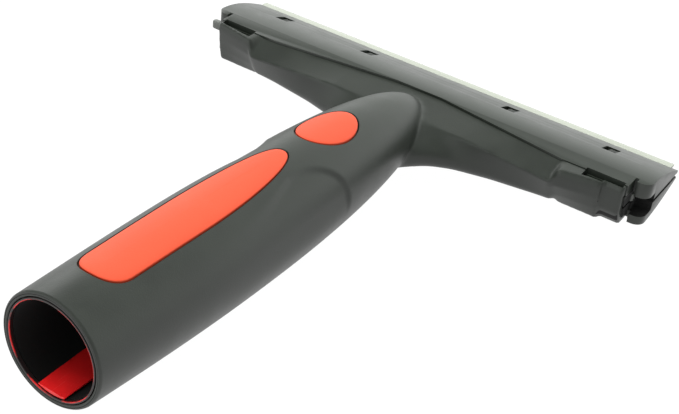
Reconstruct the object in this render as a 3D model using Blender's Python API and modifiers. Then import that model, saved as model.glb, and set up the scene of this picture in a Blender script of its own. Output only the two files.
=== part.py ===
"""Window squeegee: a moulded handle with a T-shaped yoke and a blade cartridge.

The cartridge is two clamping jaws with a silicone blade, and its tongue slides into the
yoke's channel. Units are metres and +Z is up. X runs along the blade, and +Y points from
the handle to the blade. The jaws' nose line is the local Y and Z zero of the head; the
empty "squeegee" then moves the whole object so that the world origin is the bottom centre
of its bounding box.
"""

import math

import bmesh
import bpy
from mathutils import Matrix, Vector

# Fits between pieces
CLEARANCE = 0.0003          # gap left between two pieces that touch or slide
CUT_PAST = 0.002            # how far a cutter runs past the face that it opens

# Jaws
HEAD_LENGTH = 0.200         # along the blade
HALF = HEAD_LENGTH / 2
UPPER_JAW_HEIGHT = 0.0100   # from the parting plane to the outer face
LOWER_JAW_HEIGHT = 0.0078
PLATE_CURVE = 0.029         # depth over which a jaw rises from its nose to full height
NOSE_HALF_HEIGHT = 0.0019
PARTING_GAP = 0.0012        # between the two jaws
JAW_WALL = 0.002
CLAMP_DEPTH = 0.0064        # solid lip of each jaw in front of the blade's bead
END_BLOCK_WIDTH = 0.0055
END_BLOCK_DEPTH = 0.032
END_CORNER_RADIUS = 0.004
END_GROOVE_WIDTH = 0.0013
END_GROOVE_DEPTH = 0.0296
END_NOTCH_FRONT = 0.024     # hollow in the end block, round the lock bar
END_NOTCH_TOP = 0.0038
END_NOTCH_BOTTOM = 0.0042
END_NOTCH_RADIUS = 0.0018

# Hooks of the lower jaw and their windows in the upper jaw
WINDOW_SPOTS = (-0.78 * HALF, -0.344 * HALF, 0.326 * HALF, 0.763 * HALF)
WINDOW_LENGTH = 0.0058
WINDOW_FRONT = 0.0088       # depths of the window's edges
WINDOW_REAR = 0.0158
WINDOW_FLOOR = 0.0032       # below this the window is only as deep as the hook's stem
HOOK_LENGTH = 0.0036
HOOK_SHIFT = 0.0008
HOOK_BELOW_PLATE = 0.0005

# Blade and its stiffener
BLADE_LEFT = -HALF - 0.0013
BLADE_RIGHT = HALF - 0.0034
BLADE_REACH = 0.0062        # past the jaws' nose
BLADE_THICKNESS = 0.0012
BLADE_EDGE = 0.0005         # thickness at the wiping edge
BEAD_RADIUS = 0.0017
BEAD_CENTRE = 0.0087
BEAD_HALF_LENGTH = HALF - 0.0045
STIFFENER_FRONT = BEAD_CENTRE + BEAD_RADIUS + 0.0005
STEM_FRONT = STIFFENER_FRONT + 0.0003       # the hooks pass behind the bead
STIFFENER_DEPTH = 0.0090
STIFFENER_THICKNESS = 0.0006

# Lock bar in the jaws' rear channel
BAR_CENTRE_Y = 0.0285
BAR_WIDTH = 0.0030
BAR_TOP = 0.0032
BAR_BOTTOM = -0.0005
BAR_RIGHT = HALF - 0.0060
BAR_TRAVEL = 0.0045         # also how far the bar stands out at the left

# Tongue of the cartridge and the yoke's channel
TONGUE_HALF_HEIGHT = 0.0054
TONGUE_MIDDLE_DEPTH = 0.0362
TONGUE_SLOPE = 0.36         # rear end: depth gained for each unit of height
RIB_DEPTHS = (0.0368, 0.0380)
RIB_WIDTH = 0.0005
RIB_END_GAP = 0.0007        # between a rib's ends and its slot's
RIB_TOP = 0.0080

# Yoke
YOKE_HALF_LENGTH = HALF - 0.0073
CHANNEL_WALL = 0.0014       # between the channel and the yoke's underside or rear web
YOKE_BOTTOM = -(TONGUE_HALF_HEIGHT + CLEARANCE + CHANNEL_WALL)
WEB_REAR_HEIGHT = TONGUE_HALF_HEIGHT + CLEARANCE + CHANNEL_WALL
WEB_FRONT_HEIGHT = WEB_REAR_HEIGHT + 0.0020
WEB_REAR_DEPTH = 0.0460
LIP_CENTRE_DEPTH = 0.0295   # front edge of the upper lip, a shallow V in plan
LIP_END_DEPTH = 0.0372
LIP_CENTRE_HALF = 0.010
LOWER_LIP_DEPTH = 0.0290
WEB_FALL = 0.0031           # how much lower the web's rear edge is at the arm's outer end
WEB_FALL_RANGE = (0.030, 0.068)
EDGE_BREAK = 0.0009         # slanted corners of the end boss
ROLL_DEPTH = 0.0044         # half sizes of the oval roll along the arm's lower rear edge
ROLL_HEIGHT = 0.0046
ROLL_SET_BACK = 0.0024      # from the named depth forward to the roll's centre
ARM_REAR = ((0.000, 0.0640), (0.011, 0.0635), (0.0145, 0.0580), (0.020, 0.0522), (0.028, 0.0480),
            (0.042, 0.0442), (0.062, 0.0408), (0.070, 0.0400))   # (x, depth) along the arm
BOSS_START = YOKE_HALF_LENGTH - 0.0237
BOSS_STEP = YOKE_HALF_LENGTH - 0.0077      # the right boss only
LEFT_BOSS_LATER = 0.0055    # how much farther out the left boss starts
BOSS_CORNER = 0.0010        # rounding of the outer rear corner
LIP_SLOPE_END = BOSS_START - 0.0030
BOSS_EDGE = 0.0008          # width of the slanted side between arm, boss and step
BOSS_REAR_INNER = 0.0450    # rear face at the boss's inner end, at its step and past it
BOSS_REAR_STEP = 0.0417
BOSS_REAR_OUTER = 0.0397
BOSS_FOOT = (0.0385, 0.0362)     # lower rear edge before and past the step
BOSS_BOTTOM = -(LOWER_JAW_HEIGHT + 0.0001)
BOSS_KNEE = (0.0030, -0.0015)    # height where the rear face turns in, before and past the step
SLOT_OUTER = YOKE_HALF_LENGTH - 0.0009
SLOT_INNER = SLOT_OUTER - 0.0155
SLOT_FRONT = 0.0356
SLOT_REAR_INNER = 0.0412     # rear wall from its inner end to the boss's step, then past it
SLOT_REAR_STEP = 0.0404
SLOT_REAR_OUTER = 0.0387
SLOT_FLOOR = 0.0020

# Handle, with stations measured from its mouth along its axis
MOUTH_HEIGHT = 0.0088       # centre of the mouth above the parting plane
AXIS_TILT = math.radians(3.06)
AXIS_BOW = 0.00503          # rise of the axis at the handle's end, against a straight one
HANDLE_LENGTH = 0.199
HANDLE_END_DEPTH = 0.0331   # from the nose line back to the handle's rounded end
MOUTH_DEPTH = HANDLE_END_DEPTH + HANDLE_LENGTH * math.cos(AXIS_TILT)
SOCKET_RADIUS = 0.0162
SOCKET_WALL = 0.0027        # at the mouth
BELLY_SWELL = 0.0019
MOUTH_RADIUS = SOCKET_RADIUS + SOCKET_WALL
BELLY_RADIUS = MOUTH_RADIUS + BELLY_SWELL
BELLY_STATION = 0.075
NOSE_POWER = 2.4            # 2 would be an ellipse; more is blunter
MOUTH_CHAMFER = 0.0005
HANDLE_STEPS = 48

# Pole socket
SOCKET_DEPTH = 0.100
CORE_RADIUS = 0.0105        # lightening bore past the socket
CORE_DEPTH = HANDLE_LENGTH - 0.049
RING_THICKNESS = 0.0007
RING_LENGTH = 0.0014
LEAF_FRONT_WIDTH = 0.0104
LEAF_REAR_WIDTH = 0.0118
LEAF_THICKNESS = 0.0012
LEAF_FRONT_DEPTH = SOCKET_RADIUS - 0.0015   # top face below the socket's axis, at the mouth
LEAF_REAR_DEPTH = SOCKET_RADIUS - 0.0040
LEAF_START = 0.0004
LEAF_END = 0.050
LEAF_PIVOT = 0.003
LEAF_FOOT = 0.0055          # length of the root that stands on the socket's wall

# Inlays in the handle's upper side and the panels at its flanks
INLAY_DEPTH = 0.0013
INLAY_CROWN = 0.0003        # how far the inlays stand above the handle
GRIP_START = 0.0151
GRIP_END = HANDLE_LENGTH - 0.0905
GRIP_HALF_WIDTH = 0.0092
GRIP_REAR_DEPTH = 0.0092      # length of the rounded rear end
GRIP_REAR_POWER = 2.3       # 2 would be an ellipse; more is squarer
GRIP_WIDEST = GRIP_START + 0.46 * (GRIP_END - GRIP_START)         # where the teardrop starts to narrow
THUMB_CENTRE = HANDLE_LENGTH - 0.0642
THUMB_HALF_LENGTH = 0.0148
THUMB_HALF_WIDTH = 0.0093
PANEL_END = HANDLE_LENGTH - 0.0745
PANEL_START = 0.036
PANEL_TOP = 0.88 * BELLY_RADIUS    # above and below the handle's axis
PANEL_BOTTOM = -0.0055
PANEL_POWER = 0.8           # 1 would be an ellipse; less is squarer
PANEL_DEPTH = 0.0010
PANEL_FADE = 0.018          # before its front end the panel has its full depth

ARC_STEPS = 6               # straight pieces in each quarter of a rounded outline
BODY_NAME = "window_squeegee"


def clear_scene():
    """Remove every object, so that the script can be run again."""
    for item in list(bpy.data.objects):
        bpy.data.objects.remove(item, do_unlink=True)


def collection(name):
    """Return a collection linked to the scene."""
    found = bpy.data.collections.get(name)
    if found is None:
        found = bpy.data.collections.new(name)
        bpy.context.scene.collection.children.link(found)
    return found


def plastic(name, colour, roughness, metallic=0.0):
    """A Principled material with one colour."""
    material = bpy.data.materials.new(name)
    material.use_nodes = True
    shader = material.node_tree.nodes["Principled BSDF"]
    shader.inputs["Base Color"].default_value = (*colour, 1.0)
    shader.inputs["Roughness"].default_value = roughness
    shader.inputs["Metallic"].default_value = metallic
    return material


def add_mesh(name, mesh, group, parent=None):
    """Link a mesh as an object under a parent."""
    item = bpy.data.objects.new(name, mesh)
    group.objects.link(item)
    item.parent = parent
    return item


def cutter(item):
    """Mark an object as a cutter, which is not a piece of the squeegee."""
    item.hide_render = True
    item.display_type = "WIRE"
    return item


def welded(item, group):
    """Replace a curve or a modified object by its closed mesh at the same place."""
    graph = bpy.context.evaluated_depsgraph_get()
    name = item.name
    parent = item.parent
    place = item.matrix_local.copy()
    mesh = bpy.data.meshes.new_from_object(item.evaluated_get(graph))
    shape = bmesh.new()
    shape.from_mesh(mesh)
    bmesh.ops.remove_doubles(shape, verts=shape.verts, dist=0.000001)
    bmesh.ops.recalc_face_normals(shape, faces=shape.faces)
    shape.to_mesh(mesh)
    shape.free()
    bpy.data.objects.remove(item, do_unlink=True)
    made = add_mesh(name, mesh, group, parent)
    made.matrix_local = place
    return made


# Columns say where an outline's first axis, second axis and thickness point. In the head's
# frame, ACROSS takes (y, z) outlines and PLAN takes (x, y). In the handle's frame, whose Z is
# its axis and whose -Y is up, RISE takes (x, station) and FLANK takes (station, height).
ACROSS = Matrix(((0, 0, 1), (1, 0, 0), (0, 1, 0)))
PLAN = Matrix.Identity(3)
RISE = Matrix(((1, 0, 0), (0, 0, -1), (0, 1, 0)))
FLANK = Matrix(((0, 0, 1), (0, -1, 0), (1, 0, 0)))


def slab(name, outline, turn, low, high, group, parent=None):
    """A flat outline given thickness from low to high, turned to stand in its frame."""
    curve = bpy.data.curves.new(name, "CURVE")
    curve.dimensions = "2D"
    curve.fill_mode = "BOTH"
    curve.extrude = (high - low) / 2
    spline = curve.splines.new("POLY")
    spline.points.add(len(outline) - 1)
    for point, (first, second) in zip(spline.points, outline):
        point.co = (first, second, 0, 1)
    spline.use_cyclic_u = True
    item = bpy.data.objects.new(name, curve)
    group.objects.link(item)
    item.parent = parent
    middle = (low + high) / 2
    item.matrix_local = Matrix.Translation(turn @ Vector((0, 0, middle))) @ turn.to_4x4()
    bpy.context.view_layer.update()
    return welded(item, group)


def block(name, low, high, group, parent=None):
    """A box between two corners."""
    mesh = bpy.data.meshes.new(name)
    shape = bmesh.new()
    bmesh.ops.create_cube(shape, size=1.0)
    size = [h - l for l, h in zip(low, high)]
    bmesh.ops.scale(shape, vec=size, verts=shape.verts)
    shape.to_mesh(mesh)
    shape.free()
    item = add_mesh(name, mesh, group, parent)
    item.location = [(l + h) / 2 for l, h in zip(low, high)]
    return item


def turned(name, profile, group, parent=None, bow=True):
    """A profile of (radius, station) turned about the handle's axis, from the far end back."""
    mesh = bpy.data.meshes.new(name)
    shape = bmesh.new()
    corners = [shape.verts.new((radius, 0, station)) for radius, station in profile]
    for first, second in zip(corners, corners[1:]):
        shape.edges.new((first, second))
    shape.to_mesh(mesh)
    shape.free()
    item = add_mesh(name, mesh, group, parent)
    screw = item.modifiers.new("turn", "SCREW")
    screw.steps = HANDLE_STEPS
    screw.render_steps = HANDLE_STEPS
    screw.use_merge_vertices = True
    screw.merge_threshold = 0.00001
    bpy.context.view_layer.update()
    made = welded(item, group)
    if bow:
        for corner in made.data.vertices:
            corner.co.y -= axis_rise(corner.co.z)
    return made


def boolean(item, other, operation):
    """Add a live Boolean between two objects."""
    step = item.modifiers.new(f"{operation.lower()} {other.name}", "BOOLEAN")
    step.operation = operation
    step.object = other
    step.solver = "EXACT"


def axis_rise(station):
    """How far the handle's axis has risen from its straight start."""
    return AXIS_BOW * (max(station, 0.0) / HANDLE_LENGTH) ** 2


def handle_radius(station):
    """Outer radius: a slow swell from the mouth, then a blunt rounded nose."""
    if station <= BELLY_STATION:
        swell = math.sin(math.pi / 2 * max(station, 0.0) / BELLY_STATION)
        return MOUTH_RADIUS + (BELLY_RADIUS - MOUTH_RADIUS) * swell
    share = (station - BELLY_STATION) / (HANDLE_LENGTH - BELLY_STATION)
    return BELLY_RADIUS * max(1 - share ** NOSE_POWER, 0.0) ** (1 / NOSE_POWER)


def handle_stations(last=HANDLE_LENGTH):
    """Stations for the turned profile, closer together where the nose closes."""
    straight = [BELLY_STATION * step / 6 for step in range(7)]
    nose = last - BELLY_STATION
    rounded = [BELLY_STATION + nose * math.sin(math.pi / 2 * step / 16) for step in range(1, 17)]
    return straight + rounded


def handle_profile(inset=None):
    """Profile of the handle, or of the handle made smaller by an inset at each station."""
    points = []
    for station in handle_stations():
        less = inset(station) if inset else 0.0
        radius = max(handle_radius(station) - less, 0.0)
        points.append((radius, station))
    if inset:
        points = [(radius, station) for radius, station in points if radius > 0.0]
        end = points[-1][1] + CLEARANCE
        points.append((0.0, end))
        points.insert(0, (points[0][0], -CUT_PAST))
        points.insert(0, (0.0, -CUT_PAST))
    else:
        points[0] = (MOUTH_RADIUS, MOUTH_CHAMFER)
        points.insert(0, (MOUTH_RADIUS - MOUTH_CHAMFER, 0.0))
        points.insert(0, (0.0, 0.0))
    return points[::-1]


def arc(centre, radius, start, end, steps=ARC_STEPS):
    """Points on an arc, angles in degrees."""
    points = []
    for step in range(steps + 1):
        angle = math.radians(start + (end - start) * step / steps)
        points.append((centre[0] + radius * math.cos(angle), centre[1] + radius * math.sin(angle)))
    return points


def rounded_box(low, high, radius):
    """A rectangle with rounded corners, as an outline."""
    return (
        arc((high[0] - radius, high[1] - radius), radius, 0, 90, 3)
        + arc((low[0] + radius, high[1] - radius), radius, 90, 180, 3)
        + arc((low[0] + radius, low[1] + radius), radius, 180, 270, 3)
        + arc((high[0] - radius, low[1] + radius), radius, 270, 360, 3)
    )


def plate_height(depth, side=1):
    """Height of a jaw's outer face at a depth behind the nose; side is 1 above, -1 below."""
    share = min(depth / PLATE_CURVE, 1.0)
    full = UPPER_JAW_HEIGHT if side > 0 else LOWER_JAW_HEIGHT
    return NOSE_HALF_HEIGHT + (full - NOSE_HALF_HEIGHT) * math.sin(math.pi / 2 * share)


def lip_depth(x):
    """Depth of the upper lip's front edge, a shallow V in plan."""
    share = (abs(x) - LIP_CENTRE_HALF) / (LIP_SLOPE_END - LIP_CENTRE_HALF)
    share = min(max(share, 0.0), 1.0)
    return LIP_CENTRE_DEPTH + (LIP_END_DEPTH - LIP_CENTRE_DEPTH) * share


def tongue_depth(height, extra=0.0):
    """Depth of the tongue's slanted rear end at a height, or of the channel's end."""
    return TONGUE_MIDDLE_DEPTH + TONGUE_SLOPE * height + extra


# ---------------------------------------------------------------- yoke and handle


def arm_rear_depth(x):
    """Depth of the arm's lower rear edge, smoothed between its named points."""
    place = min(abs(x), ARM_REAR[-1][0])
    for (x0, d0), (x1, d1) in zip(ARM_REAR, ARM_REAR[1:]):
        if place <= x1:
            return d0 + (d1 - d0) * (place - x0) / (x1 - x0)
    return ARM_REAR[-1][1]


def web_rear_height(x):
    """Height of the web's rear edge, lower toward the arm's outer end."""
    start, end = WEB_FALL_RANGE
    share = min(max((abs(x) - start) / (end - start), 0.0), 1.0)
    return WEB_REAR_HEIGHT - WEB_FALL * share


def arm_section(x):
    """Outline (y, z) of the yoke's arm: web on top, sloping flange, oval roll along the bottom."""
    lip = lip_depth(x)
    crease = web_rear_height(x)
    centre = arm_rear_depth(x) - ROLL_SET_BACK
    height = YOKE_BOTTOM + ROLL_HEIGHT
    across = (WEB_REAR_DEPTH - centre) / ROLL_DEPTH
    above = (crease - height) / ROLL_HEIGHT
    touch = math.atan2(above, across) - math.acos(1 / math.hypot(across, above))
    outline = [(-lip, TONGUE_HALF_HEIGHT / 2), (-lip, WEB_FRONT_HEIGHT), (-WEB_REAR_DEPTH, crease)]
    for step in range(6):
        angle = touch - (touch + math.pi / 2) * step / 5
        depth = centre + ROLL_DEPTH * math.cos(angle)
        outline.append((-depth, height + ROLL_HEIGHT * math.sin(angle)))
    return outline + yoke_underside(YOKE_BOTTOM)


def yoke_underside(bottom):
    """The lower end of every yoke section, at the lower lip."""
    return [(-LOWER_LIP_DEPTH, bottom), (-LOWER_LIP_DEPTH, -TONGUE_HALF_HEIGHT / 2)]


def corner_rounding(x):
    """How far the boss's rounded outer corner stands back from its rear face."""
    into = max(abs(x) - (YOKE_HALF_LENGTH - BOSS_CORNER), 0.0)
    return BOSS_CORNER - math.sqrt(max(BOSS_CORNER ** 2 - into ** 2, 0.0))


def boss_rear(x):
    """Depth of the boss's rear face, slanting in; past the right boss's step it is straight."""
    if x > BOSS_STEP:
        return BOSS_REAR_OUTER - corner_rounding(x)
    along = (abs(x) - BOSS_START) / (BOSS_STEP - BOSS_START)
    return BOSS_REAR_INNER + (BOSS_REAR_STEP - BOSS_REAR_INNER) * along - corner_rounding(x)


def boss_section(x):
    """Outline (y, z) of the end boss: flush with the jaw on top, its rear face turned in below."""
    lip = lip_depth(x)
    past = x > BOSS_STEP
    rear = boss_rear(x)
    foot = BOSS_FOOT[past] - corner_rounding(x)
    knee = BOSS_KNEE[past]
    top = UPPER_JAW_HEIGHT - CLEARANCE
    shoulder = top - 2 * EDGE_BREAK
    outline = [(-lip, TONGUE_HALF_HEIGHT / 2), (-lip, top), (EDGE_BREAK - rear, top)]
    outline.append((-rear, shoulder))
    outline.append((-rear, (shoulder + knee) / 2))
    outline.append((CLEARANCE - rear, knee))
    outline.append((-(rear + foot) / 2, (knee + BOSS_BOTTOM) / 2))
    outline.append((-foot, BOSS_BOTTOM + EDGE_BREAK))
    outline.append((EDGE_BREAK - foot, BOSS_BOTTOM))
    return outline + yoke_underside(BOSS_BOTTOM)


def yoke_stations(side):
    """(x, section) from beside the middle of the yoke to its right or left end."""
    start = BOSS_START if side > 0 else BOSS_START + LEFT_BOSS_LATER
    fillet = [point[0] for point in ARM_REAR[1:] if point[0] < start]
    along = sorted(set(fillet + [LIP_CENTRE_HALF, LIP_SLOPE_END, start - BOSS_EDGE]))
    boss = [start]
    if side > 0:
        boss += [BOSS_STEP - BOSS_EDGE, BOSS_STEP + BOSS_EDGE / 8]
    for angle in (0, 30, 60, 90):
        boss.append(YOKE_HALF_LENGTH - BOSS_CORNER * (1 - math.sin(math.radians(angle))))
    arm = [(side * x, arm_section(x)) for x in along]
    return arm + [(side * x, boss_section(side * x)) for x in boss]


def yoke_mesh(name):
    """Loft the sections from the left end to the right end and cap them."""
    stations = yoke_stations(-1)[::-1] + [(0.0, arm_section(0.0))] + yoke_stations(1)
    mesh = bpy.data.meshes.new(name)
    shape = bmesh.new()
    rings = []
    for x, section in stations:
        rings.append([shape.verts.new((x, y, z)) for y, z in section])
    for first, second in zip(rings, rings[1:]):
        count = len(first)
        for corner in range(count):
            following = (corner + 1) % count
            shape.faces.new((first[corner], first[following], second[following], second[corner]))
    shape.faces.new(rings[0])
    shape.faces.new(rings[-1][::-1])
    bmesh.ops.recalc_face_normals(shape, faces=shape.faces)
    shape.to_mesh(mesh)
    shape.free()
    return mesh


def channel_cutter(group, parent):
    """The yoke's channel, open in front and at both ends, with a slanted rear end."""
    half = TONGUE_HALF_HEIGHT + CLEARANCE
    outline = [
        (CUT_PAST, half),
        (-tongue_depth(half, CLEARANCE), half),
        (-tongue_depth(-half, CLEARANCE), -half),
        (CUT_PAST, -half),
    ]
    reach = YOKE_HALF_LENGTH + CUT_PAST
    return cutter(slab("channel_cutter", outline, ACROSS, -reach, reach, group, parent))


def slot_cutter(side, group, parent):
    """The open slot in the yoke above the tongue's ribs, its rear wall along the boss."""
    outline = [
        (side * SLOT_INNER, -SLOT_FRONT),
        (side * SLOT_OUTER, -SLOT_FRONT),
        (side * SLOT_OUTER, -SLOT_REAR_OUTER),
    ]
    if side > 0:
        outline.append((BOSS_STEP - BOSS_EDGE / 2, -SLOT_REAR_OUTER))
        outline.append((BOSS_STEP - BOSS_EDGE, -SLOT_REAR_STEP))
    outline.append((side * SLOT_INNER, -SLOT_REAR_INNER))
    top = UPPER_JAW_HEIGHT + CUT_PAST
    return cutter(slab(f"slot_cutter_{side:+d}", outline, PLAN, SLOT_FLOOR, top, group, parent))


def socket_cutter(group, grip):
    """The pole socket, its mouth seat for the ring, and the lightening bore behind it."""
    seat = SOCKET_RADIUS + RING_THICKNESS + CLEARANCE
    seat_end = RING_LENGTH + CLEARANCE
    profile = [
        (0.0, CORE_DEPTH),
        (CORE_RADIUS * 0.7, CORE_DEPTH - 0.001),
        (CORE_RADIUS, CORE_DEPTH - 0.006),
        (CORE_RADIUS + 0.0015, SOCKET_DEPTH + 0.012),
        (SOCKET_RADIUS, SOCKET_DEPTH),
        (SOCKET_RADIUS, seat_end),
        (seat, seat_end),
        (seat, -CUT_PAST),
        (0.0, -CUT_PAST),
    ]
    return cutter(turned("socket_cutter", profile, group, grip, bow=False))


def grip_outline(margin=0.0):
    """Teardrop in (x, station): blunt and rounded at the rear, pointed in front."""
    half = GRIP_HALF_WIDTH - margin
    end = GRIP_END - margin
    right = []
    for step in range(1, 9):
        angle = math.pi / 2 * step / 8
        width = 0.96 * half * math.sin(angle) ** (2 / GRIP_REAR_POWER)
        reach = (GRIP_REAR_DEPTH - margin) * math.cos(angle) ** (2 / GRIP_REAR_POWER)
        right.append((width, GRIP_START + GRIP_REAR_DEPTH - reach))
    taper = end - GRIP_WIDEST
    flank = []
    for step in range(12):
        angle = math.pi / 2 * step / 12
        width = half * math.cos(angle) ** 0.8
        flank.append((width, GRIP_WIDEST + taper * math.sin(angle)))
    side = right + flank
    rear = (0.0, GRIP_START + margin)
    return [rear] + side + [(0.0, end)] + [(-x, station) for x, station in side[::-1]]


def thumb_outline(margin=0.0):
    """Oval in (x, station)."""
    points = []
    for step in range(28):
        angle = 2 * math.pi * step / 28
        along = THUMB_CENTRE + (THUMB_HALF_LENGTH - margin) * math.sin(angle)
        points.append(((THUMB_HALF_WIDTH - margin) * math.cos(angle), along))
    return points


def panel_outline():
    """Long oval in (station, height) on the handle's flank, blunt in front."""
    length = PANEL_END - PANEL_START
    points = []
    for step in range(24):
        angle = 2 * math.pi * step / 24
        along = PANEL_START + length / 2 * (1 + math.sin(angle))
        share = math.copysign(abs(math.cos(angle)) ** PANEL_POWER, math.cos(angle))
        height = PANEL_BOTTOM + (PANEL_TOP - PANEL_BOTTOM) * (1 + share) / 2
        points.append((along, height))
    return points


def panel_inset(station):
    """Depth of the flank panel: nothing near the mouth, full at its blunt front end."""
    share = (station - PANEL_START) / (PANEL_END - PANEL_FADE - PANEL_START)
    share = min(max(share, 0.0), 1.0)
    return PANEL_DEPTH * share * share * (3 - 2 * share) - CLEARANCE / 15


def inlay_recess(name, outline, group, grip):
    """Cutter for a recess of even depth that follows the handle's surface."""
    above = BELLY_RADIUS + AXIS_BOW + CUT_PAST
    item = slab(name, outline, RISE, 0.0, above, group, grip)
    floor = turned(f"{name}_floor", handle_profile(lambda station: INLAY_DEPTH), group, grip)
    boolean(item, cutter(floor), "DIFFERENCE")
    return cutter(item)


def panel_recess(side, group, grip):
    """Cutter for a flank panel, whose floor follows the handle's surface."""
    low, high = sorted((0.0, side * (BELLY_RADIUS + CUT_PAST)))
    item = slab(f"panel_cutter_{side:+d}", panel_outline(), FLANK, low, high, group, grip)
    floor = turned(f"panel_floor_{side:+d}", handle_profile(panel_inset), group, grip)
    boolean(item, cutter(floor), "DIFFERENCE")
    return cutter(item)


def build_handle(parts, cutters, head, grip, material):
    """Handle and yoke in one moulding, with all that is cut into it."""
    body = turned("handle_body", handle_profile(), parts, grip)
    yoke = add_mesh("yoke_form", yoke_mesh("yoke_form"), cutters, head)
    boolean(body, cutter(yoke), "UNION")
    for side in (-1, 1):
        boolean(body, panel_recess(side, cutters, grip), "DIFFERENCE")
    boolean(body, inlay_recess("grip_recess", grip_outline(), cutters, grip), "DIFFERENCE")
    boolean(body, inlay_recess("thumb_recess", thumb_outline(), cutters, grip), "DIFFERENCE")
    boolean(body, channel_cutter(cutters, head), "DIFFERENCE")
    for side in (-1, 1):
        boolean(body, slot_cutter(side, cutters, head), "DIFFERENCE")
    boolean(body, socket_cutter(cutters, grip), "DIFFERENCE")
    body.data.materials.append(material)
    return body


def build_inlay(name, outline, parts, cutters, grip, material):
    """Soft inlay that fills its recess and stands a little proud, with a gap all round."""
    above = BELLY_RADIUS + AXIS_BOW + CUT_PAST
    item = slab(name, outline, RISE, 0.0, above, parts, grip)
    outside = turned(f"{name}_face", handle_profile(lambda station: -INLAY_CROWN), cutters, grip)
    depth = INLAY_DEPTH - CLEARANCE
    inside = turned(f"{name}_back", handle_profile(lambda station: depth), cutters, grip)
    boolean(item, cutter(outside), "INTERSECT")
    boolean(item, cutter(inside), "DIFFERENCE")
    item.data.materials.append(material)
    return item


def build_mouth_ring(parts, grip, material):
    """Thin ring set into the inner rim of the mouth."""
    inner = SOCKET_RADIUS
    outer = SOCKET_RADIUS + RING_THICKNESS
    profile = [(inner, RING_LENGTH), (outer, RING_LENGTH), (outer, 0.0), (inner, 0.0)]
    ring = turned("mouth_ring", profile + [(inner, RING_LENGTH)], parts, grip, bow=False)
    ring.data.materials.append(material)
    return ring


def build_pole_leaf(parts, cutters, grip, pivot, material):
    """Springy leaf that rises inwards from its root at the mouth and grips an inserted pole."""
    plan = [
        (LEAF_FRONT_WIDTH / 2, LEAF_START),
        (LEAF_REAR_WIDTH / 2, LEAF_END),
        (-LEAF_REAR_WIDTH / 2, LEAF_END),
        (-LEAF_FRONT_WIDTH / 2, LEAF_START),
    ]
    leaf = slab("pole_leaf", plan, RISE, -SOCKET_RADIUS, 0.0, parts, grip)
    below = SOCKET_RADIUS + CUT_PAST
    side = [
        (LEAF_START - CUT_PAST, -LEAF_FRONT_DEPTH),
        (LEAF_START - CUT_PAST, -below),
        (LEAF_FOOT, -below),
        (LEAF_FOOT, -LEAF_FRONT_DEPTH - LEAF_THICKNESS),
        (LEAF_END + CUT_PAST, -LEAF_REAR_DEPTH - LEAF_THICKNESS),
        (LEAF_END + CUT_PAST, -LEAF_REAR_DEPTH),
    ]
    half = LEAF_REAR_WIDTH / 2 + CUT_PAST
    wedge = slab("leaf_side", side, FLANK, -half, half, cutters, grip)
    boolean(leaf, cutter(wedge), "INTERSECT")
    radius = SOCKET_RADIUS - CLEARANCE
    bore = [(0.0, SOCKET_DEPTH), (radius, SOCKET_DEPTH), (radius, -CUT_PAST), (0.0, -CUT_PAST)]
    boolean(leaf, cutter(turned("leaf_wall", bore, cutters, grip, bow=False)), "INTERSECT")
    leaf.data.transform(Matrix.Translation(-pivot.location) @ leaf.matrix_local)
    leaf.matrix_local = Matrix.Identity(4)
    leaf.parent = pivot
    leaf.data.materials.append(material)
    return leaf


# ---------------------------------------------------------------- cartridge


def jaw_side(side):
    """Outline (y, z) of one jaw with its tongue; side is 1 above and -1 below."""
    gap = PARTING_GAP / 2
    mouth = BLADE_THICKNESS / 2 + CLEARANCE
    outline = [(0.0, mouth), (0.0, NOSE_HALF_HEIGHT)]
    for step in range(1, 11):
        depth = PLATE_CURVE * step / 10
        outline.append((-depth, plate_height(depth, side)))
    tail = min(LIP_END_DEPTH, tongue_depth(side * TONGUE_HALF_HEIGHT))
    outline.append((-tail, plate_height(tail, side)))
    outline.append((-tail, TONGUE_HALF_HEIGHT))
    outline.append((-tongue_depth(side * TONGUE_HALF_HEIGHT), TONGUE_HALF_HEIGHT))
    outline.append((-tongue_depth(side * gap), gap))
    outline.append((-CLAMP_DEPTH, gap))
    outline.append((-CLAMP_DEPTH, mouth))
    return [(y, side * z) for y, z in outline]


def jaw_plan():
    """Plan outline (x, y) of both jaws: straight front, end blocks with a round corner."""
    inner = HALF - END_BLOCK_WIDTH
    body = inner - END_GROOVE_WIDTH
    rear = tongue_depth(TONGUE_HALF_HEIGHT) + CUT_PAST
    corner = arc((HALF - END_CORNER_RADIUS, END_CORNER_RADIUS - END_BLOCK_DEPTH),
                 END_CORNER_RADIUS, 0, -90)
    right = [(HALF, CUT_PAST)] + corner
    right += [(inner, -END_BLOCK_DEPTH), (inner, -END_GROOVE_DEPTH), (body, -END_GROOVE_DEPTH),
              (body, -rear)]
    return right + [(-x, y) for x, y in right[::-1]]


def jaw_hollow(side):
    """Outline (y, z) of the hollow inside one jaw, open at the parting plane."""
    front = BEAD_CENTRE + BEAD_RADIUS + CLEARANCE
    outline = [(-front, 0.0), (-front, plate_height(front, side) - JAW_WALL)]
    for step in range(1, 7):
        depth = front + (PLATE_CURVE - front) * step / 6
        outline.append((-depth, plate_height(depth, side) - JAW_WALL))
    under_lip = LIP_CENTRE_DEPTH if side > 0 else LOWER_LIP_DEPTH
    roof = TONGUE_HALF_HEIGHT - JAW_WALL
    shoulder = under_lip - JAW_WALL - CLEARANCE
    outline = [(y, z) for y, z in outline if -y < shoulder]
    outline.append((-shoulder, plate_height(shoulder, side) - JAW_WALL))
    outline.append((-shoulder, roof))
    rear = tongue_depth(side * roof) - JAW_WALL
    outline.append((-rear, roof))
    outline.append((-tongue_depth(0.0) + JAW_WALL, 0.0))
    return [(y, side * z) for y, z in outline]


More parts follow.
